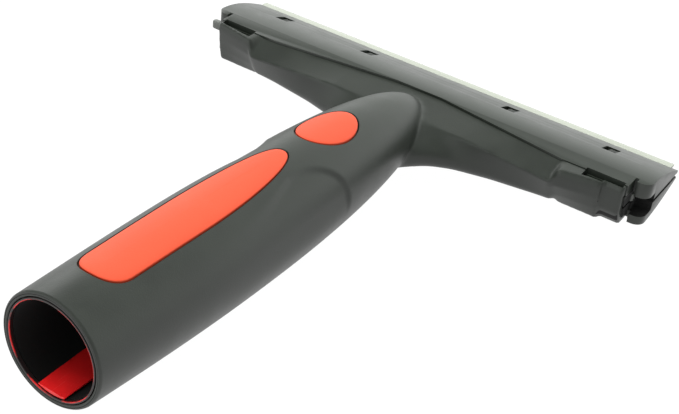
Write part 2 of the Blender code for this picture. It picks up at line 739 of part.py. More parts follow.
def lip_cutter(side, group, parent):
    """What the yoke's lip and slots take away from a jaw behind its plate."""
    body = HALF - END_BLOCK_WIDTH - END_GROOVE_WIDTH + CUT_PAST / 4
    rear = tongue_depth(TONGUE_HALF_HEIGHT) + 2 * CUT_PAST
    if side < 0:
        front = -(LOWER_LIP_DEPTH - CLEARANCE)
        low = (-body, -rear, -LOWER_JAW_HEIGHT - CUT_PAST)
        return cutter(block("lower_lip_cutter", low, (body, front, -TONGUE_HALF_HEIGHT), group, parent))
    gap = CLEARANCE
    right = [(0.0, gap - lip_depth(0.0)), (LIP_CENTRE_HALF, gap - lip_depth(LIP_CENTRE_HALF)),
             (LIP_SLOPE_END, gap - lip_depth(LIP_SLOPE_END)), (SLOT_INNER, gap - LIP_END_DEPTH),
             (SLOT_INNER, -SLOT_FRONT), (SLOT_OUTER, -SLOT_FRONT), (SLOT_OUTER, gap - LIP_END_DEPTH),
             (body, gap - LIP_END_DEPTH), (body, -rear)]
    outline = right + [(-x, y) for x, y in right[:0:-1]]
    top = UPPER_JAW_HEIGHT + CUT_PAST
    return cutter(slab("upper_lip_cutter", outline, PLAN, TONGUE_HALF_HEIGHT, top, group, parent))


def end_notch_cutter(side, group, parent):
    """The hollow in the end blocks, through which the lock bar passes."""
    low = (-END_BLOCK_DEPTH - CUT_PAST, -END_NOTCH_BOTTOM)
    high = (-END_NOTCH_FRONT, END_NOTCH_TOP)
    outline = rounded_box(low, high, END_NOTCH_RADIUS)
    inner = HALF - END_BLOCK_WIDTH - END_GROOVE_WIDTH / 2
    first, last = sorted((side * inner, side * (HALF + CUT_PAST)))
    return cutter(slab(f"end_notch_cutter_{side:+d}", outline, ACROSS, first, last, group, parent))


def bar_channel_cutter(group, parent):
    """The channel that the lock bar slides in, the length of the jaws."""
    half = BAR_WIDTH / 2 + CLEARANCE
    reach = HALF - END_BLOCK_WIDTH
    low = (-reach, -BAR_CENTRE_Y - half, BAR_BOTTOM - CLEARANCE)
    high = (reach, -BAR_CENTRE_Y + half, BAR_TOP + CLEARANCE)
    return cutter(block("bar_channel_cutter", low, high, group, parent))


def bead_cutter(group, parent):
    """The groove that holds the blade's bead."""
    half = BEAD_RADIUS + CLEARANCE
    reach = BEAD_HALF_LENGTH + CLEARANCE
    low = (-reach, -BEAD_CENTRE - half - CUT_PAST / 4, -half)
    return cutter(block("bead_cutter", low, (reach, -CLAMP_DEPTH, half), group, parent))


def stiffener_cutter(group, parent):
    """Room for the ends of the stiffener between the jaws' end walls."""
    half = STIFFENER_THICKNESS / 2 + CLEARANCE
    reach = BEAD_HALF_LENGTH + CLEARANCE
    rear = STIFFENER_FRONT + STIFFENER_DEPTH + CLEARANCE
    low = (-reach, -rear, -half - CLEARANCE)
    high = (reach, -STIFFENER_FRONT + CLEARANCE, half + CLEARANCE)
    return cutter(block("stiffener_cutter", low, high, group, parent))


def window_box(spot, low, high, front=WINDOW_FRONT):
    """Corners of the window at one spot along the jaws."""
    half = WINDOW_LENGTH / 2
    return (spot - half, -WINDOW_REAR, low), (spot + half, -front, high)


def build_jaw(name, side, parts, cutters, shared, carriage, material):
    """One clamping jaw with its half of the tongue."""
    jaw = slab(name, jaw_side(side), ACROSS, -HALF, HALF, parts, carriage)
    boolean(jaw, shared["plan"], "INTERSECT")
    boolean(jaw, lip_cutter(side, cutters, carriage), "DIFFERENCE")
    reach = HALF - END_BLOCK_WIDTH - END_GROOVE_WIDTH - JAW_WALL
    hollow = slab(f"{name}_hollow", jaw_hollow(side), ACROSS, -reach, reach, cutters, carriage)
    boolean(jaw, cutter(hollow), "DIFFERENCE")
    for key in ("bead", "bar", "stiffener", "notch_left", "notch_right"):
        boolean(jaw, shared[key], "DIFFERENCE")
    jaw.data.materials.append(material)
    return jaw


def add_windows(jaw, cutters, carriage):
    """Cut the four windows into the upper jaw's plate, narrower below for the hooks' stems."""
    for number, spot in enumerate(WINDOW_SPOTS, 1):
        low, high = window_box(spot, WINDOW_FLOOR, UPPER_JAW_HEIGHT + CUT_PAST)
        boolean(jaw, cutter(block(f"window_cutter_{number}", low, high, cutters, carriage)), "DIFFERENCE")
        low, high = window_box(spot, 0.0, WINDOW_FLOOR + CLEARANCE, STEM_FRONT - CLEARANCE)
        boolean(jaw, cutter(block(f"stem_cutter_{number}", low, high, cutters, carriage)), "DIFFERENCE")


def add_ribs(jaw, cutters, carriage):
    """Thin ribs on the tongue, reached through the yoke's end slots."""
    for side in (-1, 1):
        for number, depth in enumerate(RIB_DEPTHS, 1):
            inner = side * (SLOT_INNER + RIB_END_GAP)
            outer = side * (SLOT_OUTER - RIB_END_GAP)
            low = (min(inner, outer), -depth - RIB_WIDTH / 2, TONGUE_HALF_HEIGHT - JAW_WALL / 2)
            high = (max(inner, outer), -depth + RIB_WIDTH / 2, RIB_TOP)
            rib = block(f"rib_{side:+d}_{number}", low, high, cutters, carriage)
            boolean(jaw, cutter(rib), "UNION")


def add_hooks(jaw, cutters, carriage):
    """Four hooks that rise from the lower jaw and fill most of the upper jaw's windows."""
    front = WINDOW_FRONT + 2 * CLEARANCE
    rear = WINDOW_REAR - 2 * CLEARANCE
    foot = -(plate_height(STEM_FRONT, -1) - JAW_WALL / 2)
    outline = [
        (-rear, foot),
        (-rear, plate_height(rear) - HOOK_BELOW_PLATE),
        (-front, plate_height(front) - HOOK_BELOW_PLATE),
        (-front, WINDOW_FLOOR + CLEARANCE),
        (-STEM_FRONT, WINDOW_FLOOR + CLEARANCE),
        (-STEM_FRONT, foot),
    ]
    for number, spot in enumerate(WINDOW_SPOTS, 1):
        low = spot + HOOK_SHIFT - HOOK_LENGTH / 2
        hook = slab(f"hook_{number}", outline, ACROSS, low, low + HOOK_LENGTH, cutters, carriage)
        boolean(jaw, cutter(hook), "UNION")


def build_blade(parts, cutters, carriage, material):
    """Silicone strip with a thin wiping lip and a round bead along its back."""
    half = BLADE_THICKNESS / 2
    edge = BLADE_EDGE / 2
    root = -BEAD_CENTRE
    lip = [(root, half), (root, -half), (BLADE_REACH - 0.002, -half), (BLADE_REACH, -edge),
           (BLADE_REACH, edge), (BLADE_REACH - 0.002, half)]
    blade = slab("blade", lip, ACROSS, BLADE_LEFT, BLADE_RIGHT, parts, carriage)
    ring = arc((root, 0.0), BEAD_RADIUS, 0, 330, 11)
    bead = slab("bead_form", ring, ACROSS, -BEAD_HALF_LENGTH, BEAD_HALF_LENGTH, cutters, carriage)
    boolean(blade, cutter(bead), "UNION")
    blade.data.materials.append(material)
    return blade


def build_stiffener(parts, cutters, carriage, material):
    """Flat steel strip behind the bead, notched for the hooks."""
    half = BEAD_HALF_LENGTH
    low = (-half, -STIFFENER_FRONT - STIFFENER_DEPTH, -STIFFENER_THICKNESS / 2)
    high = (half, -STIFFENER_FRONT, STIFFENER_THICKNESS / 2)
    strip = block("blade_stiffener", low, high, parts, carriage)
    for number, spot in enumerate(WINDOW_SPOTS, 1):
        low, high = window_box(spot, -CUT_PAST, CUT_PAST)
        high = (high[0], CUT_PAST - STIFFENER_FRONT, high[2])
        punch = block(f"punch_{number}", low, high, cutters, carriage)
        boolean(strip, cutter(punch), "DIFFERENCE")
    strip.data.materials.append(material)
    return strip


def build_lock_bar(parts, slide, material):
    """Lock bar with a rounded thumb end that stands out of the jaws' left end."""
    half = BAR_WIDTH / 2
    round_end = arc((half - HALF - BAR_TRAVEL, 0.0), half, 90, 270, 8)
    outline = [(BAR_RIGHT, half)] + round_end + [(BAR_RIGHT, -half)]
    bar = slab("lock_bar", outline, PLAN, BAR_BOTTOM, BAR_TOP, parts, slide)
    bar.data.materials.append(material)
    return bar


# ---------------------------------------------------------------- whole object


def empty(name, group, parent=None):
    """An empty that carries pieces."""
    item = bpy.data.objects.new(name, None)
    group.objects.link(item)
    item.parent = parent
    return item


def lowest_point():
    """Height of the handle's underside at its lowest station."""
    heights = []
    for step in range(201):
        station = HANDLE_LENGTH * step / 200
        centre = MOUTH_HEIGHT - station * math.sin(AXIS_TILT) + axis_rise(station) * math.cos(AXIS_TILT)
        heights.append(centre - handle_radius(station) * math.cos(AXIS_TILT))
    return min(heights)


def origin_shift():
    """Move the bottom centre of the bounding box to the world origin."""
    left = min(-HALF - BAR_TRAVEL, BLADE_LEFT)
    middle_x = (left + HALF) / 2
    rear = -MOUTH_DEPTH - (MOUTH_RADIUS - MOUTH_CHAMFER) * math.sin(AXIS_TILT)
    middle_y = (rear + BLADE_REACH) / 2
    return Vector((-middle_x, -middle_y, -min(lowest_point(), -LOWER_JAW_HEIGHT)))


def shade(item):
    """Smooth round faces and keep edges sharp."""
    item.data.shade_smooth()
    item.data.set_sharp_from_angle(angle=math.radians(35))


def main():
    """Build every piece."""
    clear_scene()
    parts = collection(BODY_NAME)
    cutters = collection("cutters")

    dark = plastic("dark_shell_plastic", (0.045, 0.050, 0.048), 0.50)
    gloss = plastic("jaw_plastic", (0.055, 0.060, 0.055), 0.28)
    orange = plastic("soft_orange_inlay", (0.90, 0.12, 0.05), 0.60)
    red = plastic("red_leaf_plastic", (0.45, 0.01, 0.015), 0.35)
    pale = plastic("pale_silicone", (0.78, 0.82, 0.72), 0.40)
    steel = plastic("spring_steel", (0.60, 0.60, 0.58), 0.35, 1.0)

    head = empty("squeegee", parts)
    head.location = origin_shift()
    carriage = empty("cartridge", parts, head)
    slide = empty("lock_slide", parts, carriage)
    slide.location = (0.0, -BAR_CENTRE_Y, 0.0)
    grip = empty("grip_axis", parts, head)
    grip.location = (0.0, -MOUTH_DEPTH, MOUTH_HEIGHT)
    grip.rotation_euler = (math.radians(-90) - AXIS_TILT, 0.0, 0.0)
    pivot = empty("leaf_pivot", parts, grip)
    pivot.location = (0.0, LEAF_FRONT_DEPTH, LEAF_PIVOT)
    bpy.context.view_layer.update()

    body = build_handle(parts, cutters, head, grip, dark)
    grip_inlay = build_inlay("grip_inlay", grip_outline(CLEARANCE), parts, cutters, grip, orange)
    thumb_inlay = build_inlay("thumb_inlay", thumb_outline(CLEARANCE), parts, cutters, grip, orange)
    build_mouth_ring(parts, grip, red)
    build_pole_leaf(parts, cutters, grip, pivot, red)

    plan = slab("jaw_plan", jaw_plan(), PLAN, -LOWER_JAW_HEIGHT - CUT_PAST,
                UPPER_JAW_HEIGHT + CUT_PAST, cutters, carriage)
    shared = {
        "plan": cutter(plan),
        "bead": bead_cutter(cutters, carriage),
        "bar": bar_channel_cutter(cutters, carriage),
        "stiffener": stiffener_cutter(cutters, carriage),
        "notch_left": end_notch_cutter(-1, cutters, carriage),
        "notch_right": end_notch_cutter(1, cutters, carriage),
    }
    upper = build_jaw("upper_jaw", 1, parts, cutters, shared, carriage, gloss)
    add_windows(upper, cutters, carriage)
    add_ribs(upper, cutters, carriage)
    lower = build_jaw("lower_jaw", -1, parts, cutters, shared, carriage, gloss)
    add_hooks(lower, cutters, carriage)
    build_blade(parts, cutters, carriage, pale)
    build_stiffener(parts, cutters, carriage, steel)
    build_lock_bar(parts, slide, gloss)
    for item in (body, grip_inlay, thumb_inlay):
        shade(item)


if __name__ == "__main__":
    main()
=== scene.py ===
"""Window squeegee: fine surfaces, materials and studio."""

import math

import bpy
import numpy as np
from mathutils import Matrix, Vector


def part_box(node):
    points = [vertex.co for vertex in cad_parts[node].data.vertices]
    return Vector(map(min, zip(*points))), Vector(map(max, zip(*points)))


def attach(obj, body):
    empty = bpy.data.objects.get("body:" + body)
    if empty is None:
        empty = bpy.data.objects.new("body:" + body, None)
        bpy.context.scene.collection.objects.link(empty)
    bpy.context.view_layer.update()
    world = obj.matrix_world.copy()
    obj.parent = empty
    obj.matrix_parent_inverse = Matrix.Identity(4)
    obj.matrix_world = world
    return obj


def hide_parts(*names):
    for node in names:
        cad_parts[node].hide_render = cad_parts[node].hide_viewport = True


bl_info = {
    "name": "Window Squeegee",
    "version": (1, 0, 0),
    "blender": (4, 5, 0),
    "location": "View3D > Sidebar > Squeegee",
    "description": "Builds the fine surfaces, materials and studio of a window squeegee",
    "category": "Object",
}

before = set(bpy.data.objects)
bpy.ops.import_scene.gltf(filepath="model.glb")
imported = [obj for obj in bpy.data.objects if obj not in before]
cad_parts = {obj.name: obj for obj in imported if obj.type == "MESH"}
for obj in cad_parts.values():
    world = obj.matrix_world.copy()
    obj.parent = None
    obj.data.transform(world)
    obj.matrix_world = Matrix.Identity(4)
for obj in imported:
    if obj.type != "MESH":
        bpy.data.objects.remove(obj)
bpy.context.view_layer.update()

# The head's own zero: middle of the jaws along the blade, on their nose line and parting plane
JAW_LOW, JAW_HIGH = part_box("upper_jaw")
UPPER_JAW_HEIGHT = 0.0100
HEAD = Vector(((JAW_LOW.x + JAW_HIGH.x) / 2, JAW_HIGH.y, JAW_HIGH.z - UPPER_JAW_HEIGHT))
HALF = (JAW_HIGH.x - JAW_LOW.x) / 2

# Handle, with stations measured from its mouth along its axis
HANDLE_LENGTH = 0.199
AXIS_TILT = math.radians(3.06)
AXIS_BOW = 0.00503
MOUTH_DEPTH = 0.0331 + HANDLE_LENGTH * math.cos(AXIS_TILT)
MOUTH_HEIGHT = 0.0088
SOCKET_RADIUS = 0.0162
MOUTH_RADIUS = 0.0189
BELLY_RADIUS = 0.0208
BELLY_STATION = 0.075
NOSE_POWER = 2.4
NOSE_START = 0.150          # sections are drawn closer together from here
HANDLE_POINTS = 250         # round the handle
MOUTH_OVERRUN = 0.003       # the form runs on past the mouth, to be cut off
SOCKET_DEPTH = 0.100
CORE_RADIUS = 0.0105
CORE_DEPTH = HANDLE_LENGTH - 0.049
RING_THICKNESS = 0.0007
RING_LENGTH = 0.0014
RING_POINTS = 160           # round the mouth
RIM_ROUNDING = 0.0008
CLEARANCE = 0.0003
PAD_GAP = CLEARANCE * 0.8   # on each side of an inlay's named outline

# Soft inlays and flank panels
INLAY_DEPTH = 0.0013
GRIP_START = 0.0151
GRIP_END = HANDLE_LENGTH - 0.0905
GRIP_HALF_WIDTH = 0.0092
GRIP_REAR_DEPTH = 0.0092
GRIP_REAR_POWER = 2.3
GRIP_REAR_SHARE = 0.96      # rear end's width against the widest place
GRIP_TAPER_POWER = 0.8
GRIP_WIDEST = GRIP_START + 0.46 * (GRIP_END - GRIP_START)
THUMB_CENTRE = HANDLE_LENGTH - 0.0642
THUMB_HALF_LENGTH = 0.0148
THUMB_HALF_WIDTH = 0.0093
PANEL_END = HANDLE_LENGTH - 0.0745
PANEL_BLUNT = 0.0260        # length of the panel's rounded front end
PANEL_HALF_HEIGHT = 0.0186
PANEL_DEPTH = 0.0010
PANEL_POWER = 2.6           # 2 would be an ellipse; more is squarer
PANEL_EDGE = 0.0014         # run over which the panel's wall falls
PANEL_FADE_START = 0.040    # station where the panel begins to deepen
PANEL_FADE_RUN = 0.066

# Yoke
TONGUE_HALF_HEIGHT = 0.0054
TONGUE_MIDDLE_DEPTH = 0.0362
TONGUE_SLOPE = 0.36
YOKE_HALF_LENGTH = HALF - 0.0073
YOKE_BOTTOM = -0.0071
YOKE_SOLID_FRONT = 0.027    # the yoke is cut back from here to its lips
SECTION_POINTS = 160        # on every section of the yoke and on the grip inlay's outline
WEB_REAR_HEIGHT = 0.0071
WEB_FRONT_HEIGHT = 0.0091
WEB_REAR_DEPTH = 0.0460
LIP_CENTRE_DEPTH = 0.0295
LIP_END_DEPTH = 0.0372
LIP_CENTRE_HALF = 0.010
LOWER_LIP_DEPTH = 0.0290
WEB_FALL = 0.0031
WEB_FALL_RANGE = (0.030, 0.068)
EDGE_BREAK = 0.0009
ROLL_DEPTH = 0.0044         # half sizes of the oval roll along the arm's lower rear edge
ROLL_HEIGHT = 0.0046
ROLL_SET_BACK = 0.0024
ARM_REAR_X = (0.000, 0.011, 0.0145, 0.020, 0.028, 0.042, 0.062, 0.070)
ARM_REAR_DEPTH = (0.0640, 0.0635, 0.0580, 0.0522, 0.0480, 0.0442, 0.0408, 0.0400)
BOSS_START = YOKE_HALF_LENGTH - 0.0237
BOSS_STEP = YOKE_HALF_LENGTH - 0.0077
BOSS_REAR_INNER = 0.0450
BOSS_REAR_STEP = 0.0417
BOSS_REAR_OUTER = 0.0397
BOSS_FOOT = (0.0385, 0.0362)
BOSS_BOTTOM = -0.0079
BOSS_CORNER = 0.0012        # rounding of the outer rear corner
BOSS_EASE = 0.0034          # run over which the arm turns into the boss
STEP_BEFORE = 0.0007        # sections just before and just past the right boss's step
STEP_PAST = 0.0001
STEP_CLEAR = 0.0012         # the even sections end this far before it
LEFT_BOSS_LATER = 0.0055
BOSS_KNEE = (0.0030, -0.0015)
LIP_SLOPE_END = BOSS_START - 0.0030
SLOT_OUTER = YOKE_HALF_LENGTH - 0.0009
SLOT_INNER = SLOT_OUTER - 0.0155
SLOT_FRONT = 0.0356
SLOT_REAR_INNER = 0.0412
SLOT_REAR_STEP = 0.0404
SLOT_REAR_OUTER = 0.0387
SLOT_FLOOR = 0.0020
SLOT_CORNER = 0.0004

# Fillets between handle and yoke
HOLLOW_TURN = -180.0        # turn of the normals per metre, past which an edge lies in a hollow
FILLET_DEPTH = 0.098        # behind the nose line, as far as hollows are filled
FILLET_END = 0.010          # kept clear of the bosses
FILLET_SPREAD = 9
FILLET_FALL = 0.86

# Places where the materials paint shade, in the head's frame
CHANNEL_REAR = 0.0386
CHANNEL_FRONT = 0.0292
NOTCH_SIDE = 0.0930
NOTCH_FRONT = 0.0240
NOTCH_TOP = 0.0038
NOTCH_BOTTOM = -0.0042
TONGUE_END = 0.0932
TONGUE_FRONT = 0.0295
HOOK_LEVEL = 0.0040

# Camera and studio
CAMERA_PLACE = Vector((0.19733, -0.41932, 0.24914))
CAMERA_AZIMUTH = math.radians(30.25)
CAMERA_ELEVATION = math.radians(34.5)
CAMERA_ROLL = math.radians(6.76)
CAMERA_LENS = 66.28
BAR_COLOUR = (0.085, 0.090, 0.083)
FLOOR_GLOW = 0.99
WORLD_LEVEL = 0.26
# Bright parts of the surroundings: toward, facing where it starts and where it is full, gain
WORLD_LOBES = (
    ((0.05, 0.93, -0.36), 0.05, 0.75, 1.30),
    ((-0.45, -0.87, 0.15), 0.60, 0.97, 1.50),
    ((0.90, 0.10, 0.25), 0.20, 0.95, 0.30),
)


class SqueegeeShape(bpy.types.PropertyGroup):
    """Sizes of the fine surface."""

    surface_step: bpy.props.FloatProperty(
        name="Surface Step", description="Spacing of the handle's surface before it is cut",
        default=0.00062, min=0.0004, max=0.003, unit="LENGTH", precision=5)
    fillet_rounds: bpy.props.IntProperty(
        name="Fillet Rounds", description="Smoothing rounds where the handle meets the yoke",
        default=34, min=0, max=120)
    edge_radius: bpy.props.FloatProperty(
        name="Edge Radius", description="Rounding of the jaws' moulded edges",
        default=0.00028, min=0.0, max=0.001, unit="LENGTH", precision=5)
    inlay_crown: bpy.props.FloatProperty(
        name="Inlay Crown", description="How far the soft inlays stand above the handle",
        default=0.00024, min=0.0, max=0.0015, unit="LENGTH", precision=5)


def colour_setting(name, description, default):
    """A colour for the sidebar."""
    return bpy.props.FloatVectorProperty(
        name=name, description=description, subtype="COLOR", size=3, default=default, min=0.0, max=1.0)


class SqueegeeFinish(bpy.types.PropertyGroup):
    """Colours of the materials."""

    body_colour: colour_setting("Handle Colour", "Moulded handle and yoke", (0.0150, 0.0180, 0.0146))
    jaw_colour: colour_setting("Jaw Colour", "Moulded clamping jaws", (0.0160, 0.0195, 0.0155))
    inlay_colour: colour_setting("Inlay Colour", "Soft grip inlays", (0.52, 0.056, 0.022))
    leaf_colour: colour_setting("Leaf Colour", "Socket leaf and mouth ring", (0.78, 0.014, 0.015))
    blade_colour: colour_setting("Blade Colour", "Silicone blade", (0.30, 0.32, 0.27))


def shape_settings():
    """The sizes set in the sidebar."""
    return bpy.context.scene.squeegee_shape


def finish_settings():
    """The colours set in the sidebar."""
    return bpy.context.scene.squeegee_finish


# ---------------------------------------- places


def grip_points(local):
    """Places of rows of (across, above, along), measured on the handle's straight axis."""
    x, rise, station = local.T
    c, s = math.cos(AXIS_TILT), math.sin(AXIS_TILT)
    return np.stack([
        HEAD.x + x,
        HEAD.y - MOUTH_DEPTH + station * c + rise * s,
        HEAD.z + MOUTH_HEIGHT - station * s + rise * c,
    ], 1)


def axis_rise(station):
    """How far the handle's axis has risen at a station."""
    return AXIS_BOW * (np.maximum(station, 0.0) / HANDLE_LENGTH) ** 2


def handle_radius(station):
    """Outer radius of the handle at a station."""
    swell = np.sin(np.pi / 2 * np.clip(station / BELLY_STATION, 0.0, 1.0))
    rear = MOUTH_RADIUS + (BELLY_RADIUS - MOUTH_RADIUS) * swell
    share = np.clip((station - BELLY_STATION) / (HANDLE_LENGTH - BELLY_STATION), 0.0, 1.0)
    nose = BELLY_RADIUS * (1 - share ** NOSE_POWER) ** (1 / NOSE_POWER)
    return np.where(station <= BELLY_STATION, rear, nose)


def smooth_step(value):
    """Ease from 0 to 1."""
    value = np.clip(value, 0.0, 1.0)
    return value * value * (3 - 2 * value)


def panel_dip(station, height):
    """How deep a flank panel lies at a station and a height above the axis."""
    front = np.clip((station - (PANEL_END - PANEL_BLUNT)) / PANEL_BLUNT, 0.0, None)
    fall = np.clip(((PANEL_END - PANEL_BLUNT) - station) * 0.10, 0.0, 0.007)
    ratio = np.maximum(height, 0.0) / (PANEL_HALF_HEIGHT - fall)
    inside = 1 - (front ** PANEL_POWER + ratio ** PANEL_POWER) ** (1 / PANEL_POWER)
    soft = 1.0 + 3.0 * smooth_step((0.098 - station) / 0.030)
    edge = smooth_step(inside * 0.020 / (PANEL_EDGE * soft))
    depth = PANEL_DEPTH * smooth_step((station - PANEL_FADE_START) / PANEL_FADE_RUN)
    low = smooth_step((height + 0.0045) / 0.0095)
    return depth * edge * low


# ---------------------------------------- mesh helpers


def deselect_all():
    """Clear the selection in object mode."""
    if bpy.context.object and bpy.context.object.mode != "OBJECT":
        bpy.ops.object.mode_set(mode="OBJECT")
    bpy.ops.object.select_all(action="DESELECT")


def make_active(item):
    """Select one object only."""
    deselect_all()
    item.hide_set(False)
    item.select_set(True)
    bpy.context.view_layer.objects.active = item


def apply_all(item):
    """Apply the modifiers of an object in their order."""
    make_active(item)
    for name in [modifier.name for modifier in item.modifiers]:
        bpy.ops.object.modifier_apply(modifier=name)


def edit(item, *steps):
    """Run edit-mode steps on the whole mesh."""
    make_active(item)
    bpy.ops.object.mode_set(mode="EDIT")
    bpy.ops.mesh.select_all(action="SELECT")
    for step in steps:
        step()
    bpy.ops.object.mode_set(mode="OBJECT")


def grid(name, across, along):
    """A flat grid to be wrapped; its points run along X first."""
    deselect_all()
    bpy.ops.mesh.primitive_grid_add(x_subdivisions=across, y_subdivisions=along, size=2.0)
    item = bpy.context.object
    item.name = name
    return item


def grid_shares(item):
    """Each grid point's place as two shares from 0 to 1."""
    return (rows_of(item.data.vertices, "co", 3)[:, :2] + 1) / 2


def place_points(item, places):
    """Put a mesh's points at these places."""
    item.data.vertices.foreach_set("co", np.asarray(places, float).ravel())
    item.data.update()


def rows_of(elements, key, width, kind=float):
    """One attribute of a mesh's points or edges as rows."""
    values = np.zeros(len(elements) * width, kind)
    elements.foreach_get(key, values)
    return values.reshape(-1, width)


def wrap_rings(name, rings, loop=False):
    """A closed skin through equal rings of points: a grid wrapped round them, its ends capped or met."""
    rings = np.asarray(rings, float)
    count, around = rings.shape[:2]
    spans = count if loop else count - 1
    item = grid(name, around, spans)
    share = grid_shares(item)
    column = np.rint(share[:, 0] * around).astype(int) % around
    row = np.rint(share[:, 1] * spans).astype(int) % count
    place_points(item, rings[row, column])
    cap_ends(item)
    return item


def cap_ends(item):
    """Merge a wrapped grid's seam and fill each open end."""
    make_active(item)
    bpy.ops.object.mode_set(mode="EDIT")
    bpy.ops.mesh.select_mode(type="EDGE")
    bpy.ops.mesh.select_all(action="SELECT")
    bpy.ops.mesh.remove_doubles(threshold=0.000002)
    bpy.ops.mesh.select_all(action="DESELECT")
    bpy.ops.mesh.select_non_manifold()
    bpy.ops.mesh.fill_holes(sides=0)
    bpy.ops.mesh.select_all(action="SELECT")
    bpy.ops.mesh.normals_make_consistent(inside=False)
    bpy.ops.object.mode_set(mode="OBJECT")


def turned(name, profile):
    """A profile of (radius, station) turned about the handle's straight axis."""
    angles = np.arange(RING_POINTS) * 2 * np.pi / RING_POINTS
    rings = []
    for radius, station in profile:
        local = np.stack([radius * np.sin(angles), radius * np.cos(angles),
                          np.full(RING_POINTS, station)], 1)
        rings.append(grip_points(local))
    return wrap_rings(name, rings)


def prism(name, outline, low, high):
    """A plan outline of (x, y) in the head's frame, from a low to a high level."""
    return wrap_rings(name, [[HEAD + Vector((x, y, z)) for x, y in outline] for z in (low, high)])


def across_bar(name, outline, reach):
    """A side outline of (y, z) in the head's frame, drawn out along the blade."""
    return wrap_rings(name, [[HEAD + Vector((x, y, z)) for y, z in outline] for x in (-reach, reach)])


def join(items, name):
    """Join objects into the first."""
    deselect_all()
    for item in items:
        item.select_set(True)
    bpy.context.view_layer.objects.active = items[0]
    bpy.ops.object.join()
    items[0].name = name
    return items[0]


def boolean(item, other, operation):
    """Combine with another mesh, which is then removed."""
    step = item.modifiers.new("combine", "BOOLEAN")
    step.operation = operation
    step.object = other
    step.solver = "EXACT"
    apply_all(item)
    bpy.data.objects.remove(other, do_unlink=True)


def copy_of(node, name):
    """A welded copy of a CAD node with its flat faces made whole."""
    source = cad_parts[node]
    item = bpy.data.objects.new(name, source.data.copy())
    bpy.context.scene.collection.objects.link(item)
    item.data.materials.clear()
    edit(item,
         lambda: bpy.ops.mesh.remove_doubles(threshold=0.000005),
         lambda: bpy.ops.mesh.dissolve_limited(angle_limit=math.radians(0.6)),
         lambda: bpy.ops.mesh.normals_make_consistent(inside=False))
    return item


def round_edges(item, radius, angle=32, segments=3):
    """Round a piece's sharp edges and shade it."""
    step = item.modifiers.new("rounding", "BEVEL")
    step.width = radius
    step.segments = segments
    step.limit_method = "ANGLE"
    step.angle_limit = math.radians(angle)
    apply_all(item)
    shade(item, 38)


def shade(item, angle):
    """Smooth shading with sharp edges past an angle."""
    make_active(item)
    bpy.ops.object.shade_smooth_by_angle(angle=math.radians(angle))


def finish_piece(item, body, nodes, material):
    """Give a piece its material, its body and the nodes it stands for."""
    item.data.materials.clear()
    item.data.materials.append(material)
    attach(item, body)
    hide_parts(*nodes)


# ---------------------------------------- shader helpers


class Field:
    """A shader value that Python's operators work on."""

    def __init__(self, maker, socket):
        self.maker = maker
        self.socket = socket

    def math(self, operation, *others):
        """A Math node on this value and others."""
        return self.maker.math(operation, self, *others)

    def __add__(self, other):
        return self.math("ADD", other)

    def __radd__(self, other):
        return self.maker.math("ADD", other, self)

    def __sub__(self, other):
        return self.math("SUBTRACT", other)

    def __rsub__(self, other):
        return self.maker.math("SUBTRACT", other, self)

    def __mul__(self, other):
        return self.math("MULTIPLY", other)

    def __rmul__(self, other):
        return self.maker.math("MULTIPLY", other, self)


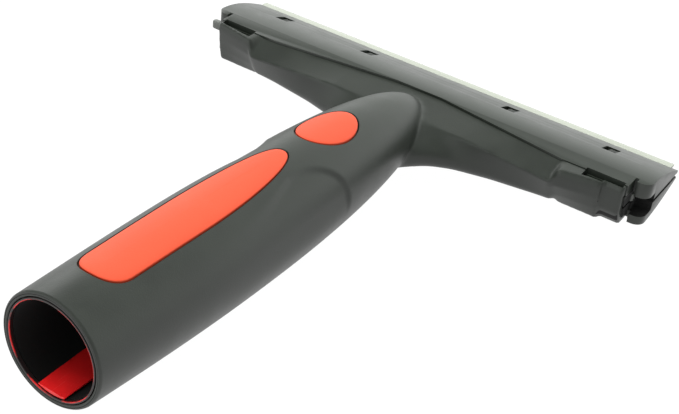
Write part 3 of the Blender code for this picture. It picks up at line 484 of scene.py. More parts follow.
class Finish:
    """A material under construction."""

    def __init__(self, name):
        self.material = bpy.data.materials.new(name)
        self.material.use_nodes = True
        self.tree = self.material.node_tree
        self.surface = self.tree.nodes["Principled BSDF"]
        self.place = self.node("ShaderNodeTexCoord").outputs["Object"]

    def node(self, kind, settings=None, **sockets):
        """A node with its settings first, then its sockets' values or links."""
        made = self.tree.nodes.new(kind)
        for key, value in (settings or {}).items():
            setattr(made, key, value)
        for key, value in sockets.items():
            self.feed(made.inputs[key.replace("_", " ")], value)
        return made

    def feed(self, socket, value):
        """Link or set one socket."""
        if isinstance(value, Field):
            value = value.socket
        if isinstance(value, bpy.types.NodeSocket):
            self.tree.links.new(value, socket)
        else:
            socket.default_value = value

    def math(self, operation, *values):
        """A Math node as a field."""
        made = self.node("ShaderNodeMath", {"operation": operation})
        for socket, value in zip(made.inputs, values):
            self.feed(socket, value)
        return Field(self, made.outputs[0])

    def stretched(self, scale):
        """Object coordinates scaled unevenly."""
        return self.node("ShaderNodeMapping", Vector=self.place, Scale=scale).outputs[0]

    def noise(self, scale, detail=3.0, roughness=0.5, vector=None, distortion=0.0):
        """Noise as a field from 0 to 1."""
        made = self.node("ShaderNodeTexNoise", Vector=vector or self.place, Scale=scale,
                         Detail=detail, Roughness=roughness, Distortion=distortion)
        return Field(self, made.outputs[0])

    def cells(self, scale):
        """Distance to scattered points, for pits and specks."""
        made = self.node("ShaderNodeTexVoronoi", Vector=self.place, Scale=scale)
        return Field(self, made.outputs["Distance"])

    def band(self, value, low, high):
        """Ease a field from 0 at low to 1 at high."""
        made = self.node("ShaderNodeMapRange", {"interpolation_type": "SMOOTHSTEP"},
                         Value=value, From_Min=low, From_Max=high)
        return Field(self, made.outputs["Result"])

    def axis(self, name):
        """One coordinate as a field, in metres."""
        split = self.node("ShaderNodeSeparateXYZ", Vector=self.place)
        return Field(self, split.outputs[name])

    def beyond(self, value, limit, fade):
        """1 where a field is over a limit, easing over a short run before it."""
        return self.band(value, limit - fade, limit)

    def within(self, value, limit, fade):
        """1 where a field is under a limit, easing over a short run past it."""
        return self.band(value, limit + fade, limit)

    def head_place(self):
        """Distance from the middle, depth behind the nose line and height above the parting plane."""
        side = (self.axis("X") - HEAD.x).math("ABSOLUTE")
        depth = HEAD.y - self.axis("Y")
        return side, depth, self.axis("Z") - HEAD.z

    def socket_place(self):
        """Distance from the handle's straight axis and distance along it from the mouth."""
        side, depth, height = self.head_place()
        behind, above = MOUTH_DEPTH - depth, height - MOUTH_HEIGHT
        c, s = math.cos(AXIS_TILT), math.sin(AXIS_TILT)
        rise = behind * s + above * c
        return (side * side + rise * rise).math("SQRT"), behind * c - above * s

    def blend(self, factor, first, second):
        """A colour mixed from two."""
        made = self.node("ShaderNodeMix", {"data_type": "RGBA", "blend_type": "MIX"})
        self.feed(made.inputs[0], factor)
        self.feed(made.inputs[6], first)
        self.feed(made.inputs[7], second)
        return made.outputs[2]

    def bump(self, height, depth):
        """Surface relief of a depth in metres."""
        made = self.node("ShaderNodeBump", Strength=1.0, Distance=depth, Height=height)
        self.feed(self.surface.inputs["Normal"], made.outputs[0])

    def set(self, **sockets):
        """Set or link sockets of the Principled shader."""
        for key, value in sockets.items():
            self.feed(self.surface.inputs[key.replace("_", " ")], value)


def tone(colour, factor):
    """A colour made lighter or darker."""
    return tuple(min(part * factor, 1.0) for part in colour) + (1.0,)


def moulded_plastic(name, colour, roughness, grain, scuffs, painted_shade=None):
    """Moulded dark plastic: spark-eroded grain, drifting tone, dust specks and hairline scuffs; the mask
    passed in last paints shade into the deep places, near black and matte.
    """
    made = Finish(name)
    drift = made.noise(24.0, 4.0, 0.55)
    cloud = made.noise(95.0, 3.0, 0.6)
    pits = made.noise(2600.0, 2.0, 0.6)
    grain_cells = made.cells(1900.0)
    scratch_a = made.noise(1.0, 2.0, 0.5, made.stretched((60.0, 2600.0, 900.0)), 0.4)
    scratch_b = made.noise(1.0, 2.0, 0.5, made.stretched((1900.0, 90.0, 1400.0)), 0.5)
    lines = made.band(scratch_a, 0.70, 0.78).math("MAXIMUM", made.band(scratch_b, 0.72, 0.80))
    worn = lines * made.band(drift, 0.50, 0.72) * scuffs
    dust = made.band(made.cells(420.0), 0.10, 0.03) * made.band(cloud, 0.54, 0.70)
    base = made.blend(made.band(drift * 0.6 + cloud * 0.4, 0.30, 0.72),
                      tone(colour, 0.86), tone(colour, 1.16))
    base = made.blend(worn * 0.5, base, tone(colour, 2.3))
    base = made.blend(dust * 0.22, base, tone(colour, 3.4))
    if painted_shade:
        # Painted shade: the deep places are painted near black and made matte.
        deep = painted_shade(made)
        base = made.blend(deep, base, (0.002, 0.002, 0.002, 1.0))
        roughness = deep * (0.9 - roughness) + roughness
    made.set(Base_Color=base,
             Roughness=roughness + (cloud - 0.5) * 0.16 + (pits - 0.5) * 0.10 + worn * 0.12 + dust * 0.2,
             Specular_IOR_Level=0.5, IOR=1.49)
    made.bump(pits * 0.6 + grain_cells * 0.4 - lines * 0.5 * scuffs, grain)
    return made


def shell_painted_shade(made):
    """Painted shade, near black, where the handle's plastic lies deep: the socket, the yoke's channel
    and its end slots.
    """
    side, depth, height = made.head_place()
    radius, station = made.socket_place()
    bore = made.within(radius, SOCKET_RADIUS + 0.0004, 0.0002) * made.beyond(station, 0.0016, 0.0004)
    bore = bore * made.within(station, CORE_DEPTH + 0.001, 0.002)
    flat = made.within(height.math("ABSOLUTE"), TONGUE_HALF_HEIGHT + CLEARANCE - 0.0001, 0.00005)
    channel = flat * made.within(depth, CHANNEL_REAR, 0.0001) * made.beyond(depth, CHANNEL_FRONT, 0.0001)
    channel = channel * made.within(side, YOKE_HALF_LENGTH - 0.0004, 0.0002)
    reach = SLOT_REAR_INNER - 0.0006 - made.beyond(side, BOSS_STEP, 0.0004) * 0.0018
    slot = made.within(depth - reach, 0.0, 0.0001) * made.beyond(side, SLOT_INNER - 0.0002, 0.0001)
    slot = slot * made.within(height, UPPER_JAW_HEIGHT - 0.0016, 0.0008)
    slot = slot * made.within(side, SLOT_OUTER + 0.0001, 0.0001)
    slot = slot * made.beyond(height, SLOT_FLOOR - 0.0010, 0.0002)
    return bore.math("MAXIMUM", channel).math("MAXIMUM", slot)


def jaw_painted_shade(made):
    """Painted shade where the jaws' plastic lies deep: between the jaws, in the end hollows, on the
    tongue.
    """
    side, depth, height = made.head_place()
    parting = made.within(height.math("ABSOLUTE"), 0.0008, 0.0002)
    notch = made.beyond(side, NOTCH_SIDE, 0.0003) * made.beyond(depth, NOTCH_FRONT, 0.0002)
    notch = notch * made.within(height, NOTCH_TOP, 0.0001) * made.beyond(height, NOTCH_BOTTOM, 0.0001)
    tongue = made.within(side, TONGUE_END, 0.0001) * made.beyond(depth, TONGUE_FRONT, 0.0002)
    tongue = tongue * made.within(height.math("ABSOLUTE"), TONGUE_HALF_HEIGHT + 0.00005, 0.00005) * 0.75
    return parting.math("MAXIMUM", notch).math("MAXIMUM", tongue)


def shell_material():
    """Matte plastic of the handle and yoke, with painted shade in its deep places."""
    colour = finish_settings().body_colour
    return moulded_plastic("handle plastic", colour, 0.42, 0.000035, 0.8, shell_painted_shade).material


def hook_painted_shade(made):
    """Painted shade on the jaws' own deep places, and half-strength painted shade on the hooks that lie
    in the upper jaw's windows.
    """
    height = made.head_place()[2]
    return jaw_painted_shade(made).math("MAXIMUM", made.beyond(height, HOOK_LEVEL, 0.0005) * 0.5)


def jaw_material(name, painted_shade):
    """Glossier plastic of the jaws, with painted shade in their deep places."""
    colour = finish_settings().jaw_colour
    return moulded_plastic(name, colour, 0.34, 0.000012, 1.0, painted_shade).material


def bar_material():
    """Lighter plastic of the lock bar."""
    return moulded_plastic("bar plastic", BAR_COLOUR, 0.40, 0.00002, 1.0).material


def inlay_material():
    """Soft thermoplastic elastomer: fine matte grain, slight rubbed shine and dust."""
    colour = finish_settings().inlay_colour
    made = Finish("soft inlay")
    drift = made.noise(38.0, 4.0, 0.5)
    grain = made.noise(3000.0, 2.0, 0.6)
    pores = made.cells(1500.0)
    rubbed = made.band(made.noise(60.0, 5.0, 0.6), 0.52, 0.74)
    dust = made.band(made.cells(380.0), 0.09, 0.02) * made.band(drift, 0.5, 0.7)
    base = made.blend(made.band(drift, 0.3, 0.7), tone(colour, 0.955), tone(colour, 1.03))
    base = made.blend(pores * 0.10, base, tone(colour, 0.88))
    base = made.blend(dust * 0.18, base, (0.60, 0.22, 0.15, 1.0))
    made.set(Base_Color=base, Roughness=0.56 - rubbed * 0.10 + (grain - 0.5) * 0.12,
             Specular_IOR_Level=0.28)
    made.bump(grain * 0.7 + pores * 0.3, 0.00003)
    return made.material


def leaf_material():
    """Satin red plastic with fine rub marks along the socket."""
    colour = finish_settings().leaf_colour
    made = Finish("leaf red")
    drift = made.noise(70.0, 3.0, 0.5)
    fine = made.noise(2400.0, 2.0, 0.5)
    rub = made.noise(1.0, 2.0, 0.5, made.stretched((2600.0, 60.0, 1200.0)), 0.3)
    marks = made.band(rub, 0.62, 0.76) * made.band(drift, 0.42, 0.62)
    base = made.blend(made.band(drift, 0.3, 0.7), tone(colour, 0.88), tone(colour, 1.12))
    base = made.blend(marks * 0.35, base, (0.75, 0.16, 0.15, 1.0))
    made.set(Base_Color=base, Roughness=0.25 + (fine - 0.5) * 0.10 + marks * 0.18)
    made.bump(fine - marks * 0.5, 0.000015)
    return made.material


def ring_material():
    """Dark maroon ring, red only in a thin broken line along its inner edge."""
    made = Finish("ring plastic")
    radius, station = made.socket_place()
    broken = made.band(made.noise(120.0, 3.0, 0.6), 0.46, 0.60)
    line = made.within(radius, SOCKET_RADIUS + 0.0002, 0.0001) * made.within(station, 0.0003, 0.0002)
    line = line * broken
    base = made.blend(line, (0.014, 0.009, 0.009, 1.0), tone(finish_settings().leaf_colour, 0.85))
    fine = made.noise(2400.0, 2.0, 0.5)
    made.set(Base_Color=base, Roughness=0.40 + (fine - 0.5) * 0.15)
    made.bump(fine, 0.00001)
    return made.material


def blade_material():
    """Pale translucent silicone with faint waviness and dust."""
    colour = finish_settings().blade_colour
    made = Finish("silicone")
    drift = made.noise(30.0, 4.0, 0.5)
    fine = made.noise(1800.0, 2.0, 0.5)
    ripple = made.noise(1.0, 2.0, 0.5, made.stretched((420.0, 60.0, 60.0)))
    dust = made.band(made.cells(520.0), 0.08, 0.02) * made.band(drift, 0.48, 0.66)
    base = made.blend(made.band(drift, 0.3, 0.7), tone(colour, 0.95), tone(colour, 1.04))
    base = made.blend(dust * 0.30, base, (0.20, 0.20, 0.18, 1.0))
    made.set(Base_Color=base, Roughness=0.36 + (fine - 0.5) * 0.14 + dust * 0.2,
             Transmission_Weight=0.12)
    made.bump(fine * 0.4 + ripple * 0.6, 0.00003)
    return made.material


def steel_material():
    """Brushed spring steel, lines along the strip, its tone drifting a little."""
    made = Finish("spring steel")
    brush = made.noise(1.0, 3.0, 0.6, made.stretched((40.0, 4200.0, 4200.0)))
    drift = made.noise(50.0, 3.0, 0.5)
    base = made.blend(made.band(drift, 0.35, 0.7), (0.50, 0.50, 0.49, 1.0), (0.66, 0.65, 0.62, 1.0))
    made.set(Base_Color=base, Metallic=1.0, Roughness=0.26 + (brush - 0.5) * 0.3)
    made.bump(brush, 0.00001)
    return made.material


# ---------------------------------------- handle and yoke


def handle_form():
    """The turned handle with its flank panels, run on a little past its mouth."""
    rear = np.linspace(-MOUTH_OVERRUN, NOSE_START, 200)
    nose = NOSE_START + (HANDLE_LENGTH - NOSE_START) * np.sin(np.pi / 2 * np.linspace(0, 1, 90)[1:])
    stations = np.concatenate([rear, nose[:-1]])
    angles = np.arange(HANDLE_POINTS) * 2 * np.pi / HANDLE_POINTS
    rings = []
    for station in stations:
        radius = float(handle_radius(np.array(station)))
        dip = panel_dip(station, radius * np.cos(angles))
        reach = radius - dip
        local = np.stack([reach * np.sin(angles), reach * np.cos(angles) + axis_rise(station),
                          np.full(HANDLE_POINTS, station)], 1)
        rings.append(grip_points(local))
    return wrap_rings("handle_form", rings)


def lip_depth(x):
    """Depth of the upper lip's front edge, a shallow V in plan."""
    share = np.clip((abs(x) - LIP_CENTRE_HALF) / (LIP_SLOPE_END - LIP_CENTRE_HALF), 0.0, 1.0)
    return LIP_CENTRE_DEPTH + (LIP_END_DEPTH - LIP_CENTRE_DEPTH) * share


def arm_rear_depth(x):
    """Depth of the arm's lower rear edge, eased between its points."""
    around = abs(x) + np.linspace(-0.0025, 0.0025, 11)
    return float(np.mean(np.interp(np.abs(around), ARM_REAR_X, ARM_REAR_DEPTH)))


def underside(bottom):
    """The lower end of every yoke section, solid in front of the lower lip."""
    return [(-YOKE_SOLID_FRONT, bottom), (-YOKE_SOLID_FRONT, 0.0)]


def arm_section(x):
    """Outline (y, z) of the arm: web on top, sloping flange, oval roll along the bottom."""
    start, end = WEB_FALL_RANGE
    crease = WEB_REAR_HEIGHT - WEB_FALL * float(np.clip((abs(x) - start) / (end - start), 0.0, 1.0))
    slope = (WEB_FRONT_HEIGHT - crease) / (WEB_REAR_DEPTH - lip_depth(x))
    front = WEB_FRONT_HEIGHT + slope * (lip_depth(x) - YOKE_SOLID_FRONT)
    outline = [(-YOKE_SOLID_FRONT, front), (-WEB_REAR_DEPTH, crease)]
    centre = arm_rear_depth(x) - ROLL_SET_BACK
    height = YOKE_BOTTOM + ROLL_HEIGHT
    across = (WEB_REAR_DEPTH - centre) / ROLL_DEPTH
    above = (crease - height) / ROLL_HEIGHT
    touch = math.atan2(above, across) - math.acos(1 / math.hypot(across, above))
    for angle in np.linspace(touch, -math.pi / 2, 24):
        outline.append((-centre - ROLL_DEPTH * math.cos(angle), height + ROLL_HEIGHT * math.sin(angle)))
    return even_outline(outline + underside(YOKE_BOTTOM), SECTION_POINTS)


def boss_section(x):
    """Outline (y, z) of the end boss; only the right one has a step."""
    past = x > BOSS_STEP
    into = max(abs(x) - (YOKE_HALF_LENGTH - BOSS_CORNER), 0.0)
    corner = BOSS_CORNER - math.sqrt(max(BOSS_CORNER ** 2 - into ** 2, 0.0))
    along = (abs(x) - BOSS_START) / (BOSS_STEP - BOSS_START)
    rear = BOSS_REAR_INNER + (BOSS_REAR_STEP - BOSS_REAR_INNER) * along
    if past:
        rear = BOSS_REAR_OUTER - corner
    foot = BOSS_FOOT[past] - corner
    knee = BOSS_KNEE[past]
    top = UPPER_JAW_HEIGHT - CLEARANCE
    outline = [(-YOKE_SOLID_FRONT, top), (EDGE_BREAK - rear, top), (-rear, top - 2 * EDGE_BREAK),
               (-rear, (top + knee) / 2), (CLEARANCE - rear, knee),
               (-(rear + foot) / 2, (knee + BOSS_BOTTOM) / 2),
               (-foot, BOSS_BOTTOM + EDGE_BREAK), (EDGE_BREAK - foot, BOSS_BOTTOM)]
    return even_outline(outline + underside(BOSS_BOTTOM), SECTION_POINTS)


def yoke_section(x):
    """Outline at one place along the yoke: the arm eases into the boss over a short run."""
    start = BOSS_START if x > 0 else BOSS_START + LEFT_BOSS_LATER
    if abs(x) >= start:
        return boss_section(x)
    arm = arm_section(x)
    share = float(smooth_step(np.array((abs(x) - start + BOSS_EASE) / BOSS_EASE)))
    return arm + (boss_section(math.copysign(start, x)) - arm) * share


def yoke_form():
    """The yoke's arms and end bosses, lofted along the blade, solid in front."""
    rounding = YOKE_HALF_LENGTH - BOSS_CORNER * (1 - np.sin(np.linspace(0, np.pi / 2, 6)))
    ends = np.concatenate([[BOSS_STEP - STEP_BEFORE, BOSS_STEP + STEP_PAST], rounding])
    middle = np.linspace(-BOSS_STEP + STEP_CLEAR, BOSS_STEP - STEP_CLEAR, 260)
    places = np.concatenate([-ends[::-1], middle, ends])
    rings = [[HEAD + Vector((x, y, z)) for y, z in yoke_section(x)] for x in places]
    return wrap_rings("yoke_form", rings)


def crease_weights(item):
    """How strongly each point is smoothed: fully in the hollows between handle and yoke."""
    points = rows_of(item.data.vertices, "co", 3)
    edges = rows_of(item.data.edges, "vertices", 2, int)
    normals = rows_of(item.data.vertices, "normal", 3)
    across = points[edges[:, 1]] - points[edges[:, 0]]
    length = np.linalg.norm(across, axis=1)
    turn = ((normals[edges[:, 1]] - normals[edges[:, 0]]) * across).sum(1) / length ** 2
    hollow = turn < HOLLOW_TURN
    weight = np.zeros(len(points))
    weight[edges[hollow].ravel()] = 1.0
    near = points[:, 1] - HEAD.y > -FILLET_DEPTH
    weight *= near & (np.abs(points[:, 0] - HEAD.x) < BOSS_START - FILLET_END)
    for _ in range(FILLET_SPREAD):
        spread = weight.copy()
        np.maximum.at(spread, edges[:, 0], weight[edges[:, 1]] * FILLET_FALL)
        np.maximum.at(spread, edges[:, 1], weight[edges[:, 0]] * FILLET_FALL)
        weight = spread
    return weight


def smooth(item, rounds, group=""):
    """Smooth a mesh, or one vertex group of it."""
    step = item.modifiers.new("smooth", "SMOOTH")
    step.factor = 0.5
    step.iterations = rounds
    step.vertex_group = group
    apply_all(item)


def soften(item, weight, rounds):
    """Smooth a mesh by weights, through a vertex group."""
    group = item.vertex_groups.new(name="fillet")
    for level in range(1, 11):
        share = level / 10
        chosen = np.nonzero(np.rint(weight * 10) == level)[0]
        if len(chosen):
            group.add([int(index) for index in chosen], share, "REPLACE")
    smooth(item, rounds, "fillet")
    item.vertex_groups.clear()


def grip_outline(margin):
    """Teardrop in (x, station): blunt and rounded at the rear, pointed in front."""
    half = GRIP_HALF_WIDTH - margin
    end = GRIP_END - margin
    points = [(0.0, GRIP_START + margin)]
    for angle in np.linspace(0.0, np.pi / 2, 40)[1:]:
        width = GRIP_REAR_SHARE * half * math.sin(angle) ** (2 / GRIP_REAR_POWER)
        reach = (GRIP_REAR_DEPTH - margin) * abs(math.cos(angle)) ** (2 / GRIP_REAR_POWER)
        points.append((width, GRIP_START + GRIP_REAR_DEPTH - reach))
    taper = end - GRIP_WIDEST
    for angle in np.linspace(0.0, np.pi / 2, 61)[:-1]:
        width = half * math.cos(angle) ** GRIP_TAPER_POWER
        points.append((width, GRIP_WIDEST + taper * math.sin(angle)))
    left = [(-x, station) for x, station in points[:0:-1]]
    return even_outline(points + [(0.0, end)] + left, SECTION_POINTS)


def thumb_outline(margin):
    """Oval in (x, station)."""
    angles = np.linspace(0, 2 * np.pi, 128, endpoint=False)
    return np.stack([(THUMB_HALF_WIDTH - margin) * np.cos(angles),
                     THUMB_CENTRE + (THUMB_HALF_LENGTH - margin) * np.sin(angles)], 1)


def even_outline(points, count):
    """A closed outline as this many evenly spaced points."""
    corners = np.array(list(points) + [points[0]])
    runs = np.hypot(*np.diff(corners, axis=0).T)
    total = np.concatenate([[0.0], np.cumsum(runs)])
    where = np.linspace(0.0, total[-1], count, endpoint=False)
    return np.stack([np.interp(where, total, corners[:, 0]), np.interp(where, total, corners[:, 1])], 1)


def surface_height(x, station):
    """Height of the handle's upper side above its straight axis."""
    radius = handle_radius(station)
    return axis_rise(station) + np.sqrt(np.maximum(radius ** 2 - x ** 2, 0.0))


def shrunk(outline, share):
    """An outline drawn in towards its own long middle line."""
    low, high = outline[:, 1].min(), outline[:, 1].max()
    half = np.abs(outline[:, 0]).max()
    middle = np.clip(outline[:, 1], low + half, high - half * 1.2)
    return np.stack([outline[:, 0] * share, middle + (outline[:, 1] - middle) * share], 1)


def surface_pad(name, outline, levels):
    """A pad on the handle's upper side from rings of (share of outline, height off the surface)."""
    rings = []
    for share, off in levels:
        ring = shrunk(outline, share)
        rise = surface_height(ring[:, 0], ring[:, 1]) + off
        rings.append(grip_points(np.stack([ring[:, 0], rise, ring[:, 1]], 1)))
    return wrap_rings(name, rings)


def recess_cutter(name, outline):
    """What a recess takes away: an even depth below the surface, with a small lead-in edge."""
    deep = -INLAY_DEPTH
    levels = [(0.02, deep), (0.3, deep), (0.6, deep), (0.85, deep), (1.0, deep),
              (1.0, -0.00035), (1.012, -0.00012), (1.04, 0.0001), (1.06, 0.002),
              (0.6, 0.003), (0.3, 0.003), (0.02, 0.003)]
    return surface_pad(name, outline, levels)


def mouth_cutter():
    """The socket, the ring's seat, the rim's rounded edges and its shallow groove."""
    seat = SOCKET_RADIUS + RING_THICKNESS + CLEARANCE
    seat_end = RING_LENGTH + CLEARANCE
    wall = MOUTH_RADIUS
    profile = [(0.0001, CORE_DEPTH), (CORE_RADIUS * 0.7, CORE_DEPTH - 0.001),
               (CORE_RADIUS, CORE_DEPTH - 0.006), (CORE_RADIUS + 0.0015, SOCKET_DEPTH + 0.012),
               (SOCKET_RADIUS, SOCKET_DEPTH), (SOCKET_RADIUS, seat_end),
               (seat, seat_end), (seat, 0.00025), (seat + 0.00025, 0.0)]
    middle = (seat + wall) / 2 + 0.0001
    profile += [(middle - 0.00022, 0.0), (middle - 0.0001, 0.00022), (middle + 0.0001, 0.00022),
                (middle + 0.00022, 0.0)]
    for degrees in range(0, 91, 15):
        angle = math.radians(degrees)
        profile.append((wall - RIM_ROUNDING + RIM_ROUNDING * math.sin(angle),
                        RIM_ROUNDING * (1 - math.cos(angle))))
    profile += [(wall + 0.0020, RIM_ROUNDING), (wall + 0.0020, -0.006), (0.0001, -0.006)]
    return turned("mouth_cutter", profile)


def front_cutter():
    """All in front of the upper lip's V edge."""
    right = [(0.0, -lip_depth(0.0)), (LIP_CENTRE_HALF, -lip_depth(LIP_CENTRE_HALF)),
             (LIP_SLOPE_END, -lip_depth(LIP_SLOPE_END)), (HALF, -LIP_END_DEPTH), (HALF, 0.0)]
    outline = right + [(-x, y) for x, y in right[:0:-1]]
    return prism("front_cutter", outline, 0.003, 0.02)


def channel_cutter():
    """The channel for the tongue, and all in front of the lower lip."""
    half = TONGUE_HALF_HEIGHT + CLEARANCE
    upper = -(TONGUE_MIDDLE_DEPTH + TONGUE_SLOPE * half + CLEARANCE)
    lower = -(TONGUE_MIDDLE_DEPTH - TONGUE_SLOPE * half + CLEARANCE)
    outline = [(0.002, half), (upper, half), (lower, -half), (-LOWER_LIP_DEPTH, -half),
               (-LOWER_LIP_DEPTH, -0.02), (0.002, -0.02)]
    return across_bar("channel_cutter", outline, HALF)


def slot_cutter(side):
    """The open slot above the tongue's ribs, with rounded corners."""
    corners = [(side * SLOT_INNER, -SLOT_FRONT), (side * SLOT_OUTER, -SLOT_FRONT),
               (side * SLOT_OUTER, -SLOT_REAR_OUTER), (side * (BOSS_STEP - 0.0004), -SLOT_REAR_OUTER),
               (side * (BOSS_STEP - 0.0008), -SLOT_REAR_STEP), (side * SLOT_INNER, -SLOT_REAR_INNER)]
    if side < 0:
        del corners[3:5]
    return prism(f"slot_cutter_{side:+d}", round_corners(corners, SLOT_CORNER), SLOT_FLOOR, 0.02)


def round_corners(corners, radius):
    """Cut the corners of a plan outline by short curves."""
    points = []
    count = len(corners)
    for index, corner in enumerate(corners):
        here = Vector(corner)
        before = (Vector(corners[index - 1]) - here).normalized() * radius
        after = (Vector(corners[(index + 1) % count]) - here).normalized() * radius
        for share in (0.0, 0.2, 0.4, 0.6, 0.8, 1.0):
            points.append(tuple(here + before * (1 - share) ** 2 + after * share ** 2))
    return points


def build_handle():
    """The handle and yoke as one moulding with soft fillets and crisp openings."""
    settings = shape_settings()
    body = handle_form()
    boolean(body, yoke_form(), "UNION")
    step = body.modifiers.new("skin", "REMESH")
    step.mode = "VOXEL"
    step.voxel_size = settings.surface_step
    step.use_smooth_shade = True
    apply_all(body)
    smooth(body, 1)
    soften(body, crease_weights(body), settings.fillet_rounds)
    first = join([mouth_cutter(), recess_cutter("grip_cut", grip_outline(-PAD_GAP)),
                  recess_cutter("thumb_cut", thumb_outline(-PAD_GAP)), front_cutter()], "cut")
    boolean(body, first, "DIFFERENCE")
    boolean(body, channel_cutter(), "DIFFERENCE")
    boolean(body, join([slot_cutter(-1), slot_cutter(1)], "slots"), "DIFFERENCE")
    body.name = "handle_shell"
    shade(body, 35)
    finish_piece(body, "handle", ["handle_body"], shell_material())


# ---------------------------------------- operators


class SQUEEGEE_OT_handle(bpy.types.Operator):
    """Model the handle with its yoke"""

    bl_idname = "squeegee.handle"
    bl_label = "Handle and Yoke"

    def execute(self, context):
        build_handle()
        return {"FINISHED"}


class SQUEEGEE_OT_inlays(bpy.types.Operator):
    """Model the two soft inlays"""

    bl_idname = "squeegee.inlays"
    bl_label = "Soft Inlays"

    def execute(self, context):
        crown = shape_settings().inlay_crown
        material = inlay_material()
        back = CLEARANCE - INLAY_DEPTH
        for name, outline, node in (("grip_pad", grip_outline(PAD_GAP), "grip_inlay"),
                                    ("thumb_pad", thumb_outline(PAD_GAP), "thumb_inlay")):
            levels = [(0.02, back), (0.5, back), (1.0, back), (1.0, -0.0003)]
            levels += [(0.998, -0.00012), (0.99, 0.0), (0.975, crown * 0.3), (0.94, crown * 0.6)]
            levels += [(0.88, crown * 0.85), (0.75, crown), (0.5, crown), (0.25, crown), (0.02, crown)]
            pad = surface_pad(name, outline, levels)
            shade(pad, 60)
            finish_piece(pad, "handle", [node], material)
        return {"FINISHED"}


class SQUEEGEE_OT_socket(bpy.types.Operator):
    """Model the mouth ring and the pole leaf"""

    bl_idname = "squeegee.socket"
    bl_label = "Socket Fittings"

    def execute(self, context):
        inner, outer, end = SOCKET_RADIUS, SOCKET_RADIUS + RING_THICKNESS, RING_LENGTH
        edge = 0.00015
        profile = [(inner, end), (outer, end), (outer, edge), (outer - edge, 0.0),
                   (inner + edge, 0.0), (inner, edge)]
        sections = []
        for angle in np.arange(RING_POINTS) * 2 * np.pi / RING_POINTS:
            local = np.array([(radius * math.sin(angle), radius * math.cos(angle), station)
                              for radius, station in profile])
            sections.append(grip_points(local))
        ring = wrap_rings("rim_ring", sections, loop=True)
        shade(ring, 40)
        finish_piece(ring, "handle", ["mouth_ring"], ring_material())
        leaf = copy_of("pole_leaf", "spring_leaf")
        round_edges(leaf, 0.0002)
        finish_piece(leaf, "leaf", ["pole_leaf"], leaf_material())
        return {"FINISHED"}


class SQUEEGEE_OT_jaws(bpy.types.Operator):
    """Model the two clamping jaws"""

    bl_idname = "squeegee.jaws"
    bl_label = "Clamping Jaws"

    def execute(self, context):
        radius = shape_settings().edge_radius
        # Each jaw gets its own mask of painted shade for its deep places.
        for node, name, painted_shade in (("upper_jaw", "upper_clamp", jaw_painted_shade),
                                   ("lower_jaw", "lower_clamp", hook_painted_shade)):
            material = jaw_material(f"{name} plastic", painted_shade)
            jaw = copy_of(node, name)
            round_edges(jaw, radius, angle=24)
            finish_piece(jaw, "cartridge", [node], material)
        return {"FINISHED"}


class SQUEEGEE_OT_blade(bpy.types.Operator):
    """Model the silicone blade and its steel stiffener"""

    bl_idname = "squeegee.blade"
    bl_label = "Blade and Stiffener"

    def execute(self, context):
        blade = copy_of("blade", "wiping_blade")
        round_edges(blade, 0.0001, angle=30)
        finish_piece(blade, "cartridge", ["blade"], blade_material())
        strip = copy_of("blade_stiffener", "steel_strip")
        round_edges(strip, 0.00008)
        finish_piece(strip, "cartridge", ["blade_stiffener"], steel_material())
        return {"FINISHED"}


class SQUEEGEE_OT_lock_bar(bpy.types.Operator):
    """Model the sliding lock bar"""

    bl_idname = "squeegee.lock_bar"
    bl_label = "Lock Bar"

    def execute(self, context):
        bar = copy_of("lock_bar", "slide_bar")
        round_edges(bar, 0.0008, segments=5)
        finish_piece(bar, "lock", ["lock_bar"], bar_material())
        return {"FINISHED"}


def camera_frame():
    """The camera's right, up and backward directions."""
    back = Vector((math.sin(CAMERA_AZIMUTH) * math.cos(CAMERA_ELEVATION),
                   -math.cos(CAMERA_AZIMUTH) * math.cos(CAMERA_ELEVATION),
                   math.sin(CAMERA_ELEVATION)))
    right = Vector((0, 0, 1)).cross(back).normalized()
    up = back.cross(right)
    c, s = math.cos(CAMERA_ROLL), math.sin(CAMERA_ROLL)
    return right * c + up * s, up * c - right * s, back


def add_camera():
    """The camera at the working view."""
    right, up, back = camera_frame()
    data = bpy.data.cameras.new("view")
    data.lens = CAMERA_LENS
    data.sensor_width = 36.0
    data.clip_start = 0.01
    item = bpy.data.objects.new("view", data)
    bpy.context.scene.collection.objects.link(item)
    turn = Matrix((right, up, back)).transposed().to_4x4()
    item.matrix_world = Matrix.Translation(HEAD + CAMERA_PLACE) @ turn
    bpy.context.scene.camera = item


def add_lamp(name, place, target, size, power):
    """A soft square lamp aimed at a target."""
    data = bpy.data.lights.new(name, "AREA")
    data.shape = "RECTANGLE"
    data.size, data.size_y = size
    data.energy = power
    item = bpy.data.objects.new(name, data)
    bpy.context.scene.collection.objects.link(item)
    item.location = place
    aim = Vector(target) - Vector(place)
    item.rotation_euler = aim.to_track_quat("-Z", "Y").to_euler()
    item.visible_camera = False
    return item


def add_floor():
    """A wide, flat, evenly lit pale floor."""
    deselect_all()
    bpy.ops.mesh.primitive_plane_add(size=6.0, location=(0, 0, 0))
    floor = bpy.context.object
    floor.name = "studio_floor"
    made = Finish("studio floor")
    made.set(Base_Color=(0.03, 0.03, 0.03, 1.0), Roughness=0.9,
             Emission_Color=(1.0, 1.0, 1.0, 1.0), Emission_Strength=FLOOR_GLOW)
    floor.data.materials.append(made.material)


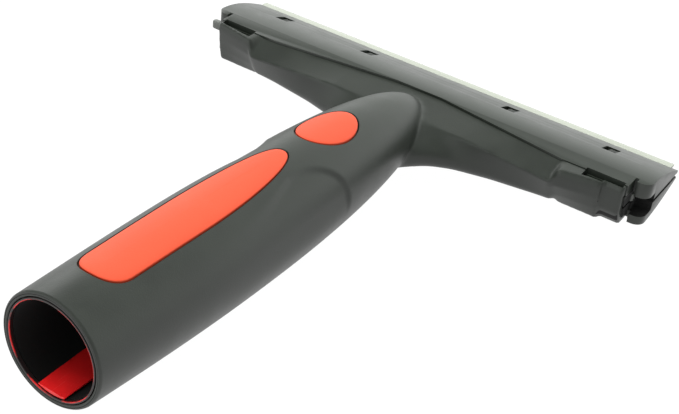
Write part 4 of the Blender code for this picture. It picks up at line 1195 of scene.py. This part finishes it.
def set_world():
    """Surroundings bright low behind the head and at the front left, weaker at the right, else dim."""
    world = bpy.data.worlds.new("studio")
    world.use_nodes = True
    tree = world.node_tree
    place = tree.nodes.new("ShaderNodeTexCoord").outputs["Generated"]
    level = None
    for toward, start, full, gain in WORLD_LOBES:
        facing = tree.nodes.new("ShaderNodeVectorMath")
        facing.operation = "DOT_PRODUCT"
        facing.inputs[1].default_value = toward
        tree.links.new(place, facing.inputs[0])
        lobe = tree.nodes.new("ShaderNodeMapRange")
        lobe.interpolation_type = "SMOOTHSTEP"
        lobe.inputs["From Min"].default_value = start
        lobe.inputs["From Max"].default_value = full
        lobe.inputs["To Max"].default_value = gain
        tree.links.new(facing.outputs["Value"], lobe.inputs["Value"])
        total = tree.nodes.new("ShaderNodeMath")
        total.inputs[1].default_value = WORLD_LEVEL
        if level:
            tree.links.new(level, total.inputs[1])
        tree.links.new(lobe.outputs["Result"], total.inputs[0])
        level = total.outputs[0]
    backdrop = tree.nodes["Background"]
    backdrop.inputs["Color"].default_value = (0.97, 1.0, 0.97, 1.0)
    tree.links.new(level, backdrop.inputs["Strength"])
    bpy.context.scene.world = world


class SQUEEGEE_OT_studio(bpy.types.Operator):
    """Set the pale floor, the soft lamps and the camera"""

    bl_idname = "squeegee.studio"
    bl_label = "Studio"

    def execute(self, context):
        add_floor()
        set_world()
        over = add_lamp("over", (-0.1, 0.1, 1.0), (0, 0, 0), (1.0, 1.0), 23.5)
        over.visible_glossy = False
        add_lamp("left", (-0.9, 0.5, 0.45), (0, 0, 0.02), (0.7, 0.5), 2.0)
        add_camera()
        context.scene.view_settings.view_transform = "Standard"
        return {"FINISHED"}


class SQUEEGEE_PT_sidebar(bpy.types.Panel):
    """Sizes, colours and steps of the squeegee"""

    bl_idname = "SQUEEGEE_PT_sidebar"
    bl_label = "Window Squeegee"
    bl_space_type = "VIEW_3D"
    bl_region_type = "UI"
    bl_category = "Squeegee"

    def draw(self, context):
        for group in (context.scene.squeegee_shape, context.scene.squeegee_finish):
            box = self.layout.box()
            for key in group.__class__.__annotations__:
                box.prop(group, key)
        for operator in OPERATORS:
            self.layout.operator(operator.bl_idname)


OPERATORS = (SQUEEGEE_OT_handle, SQUEEGEE_OT_inlays, SQUEEGEE_OT_socket, SQUEEGEE_OT_jaws,
             SQUEEGEE_OT_blade, SQUEEGEE_OT_lock_bar, SQUEEGEE_OT_studio)
CLASSES = (SqueegeeShape, SqueegeeFinish) + OPERATORS + (SQUEEGEE_PT_sidebar,)


def register():
    """Add the classes and the scene's settings."""
    for item in CLASSES:
        bpy.utils.register_class(item)
    bpy.types.Scene.squeegee_shape = bpy.props.PointerProperty(type=SqueegeeShape)
    bpy.types.Scene.squeegee_finish = bpy.props.PointerProperty(type=SqueegeeFinish)


def unregister():
    """Take them away again."""
    del bpy.types.Scene.squeegee_finish
    del bpy.types.Scene.squeegee_shape
    for item in reversed(CLASSES):
        bpy.utils.unregister_class(item)


def main():
    """Build every piece and the studio."""
    register()
    bpy.ops.squeegee.handle()
    bpy.ops.squeegee.inlays()
    bpy.ops.squeegee.socket()
    bpy.ops.squeegee.jaws()
    bpy.ops.squeegee.blade()
    bpy.ops.squeegee.lock_bar()
    bpy.ops.squeegee.studio()


if __name__ == "__main__":
    main()
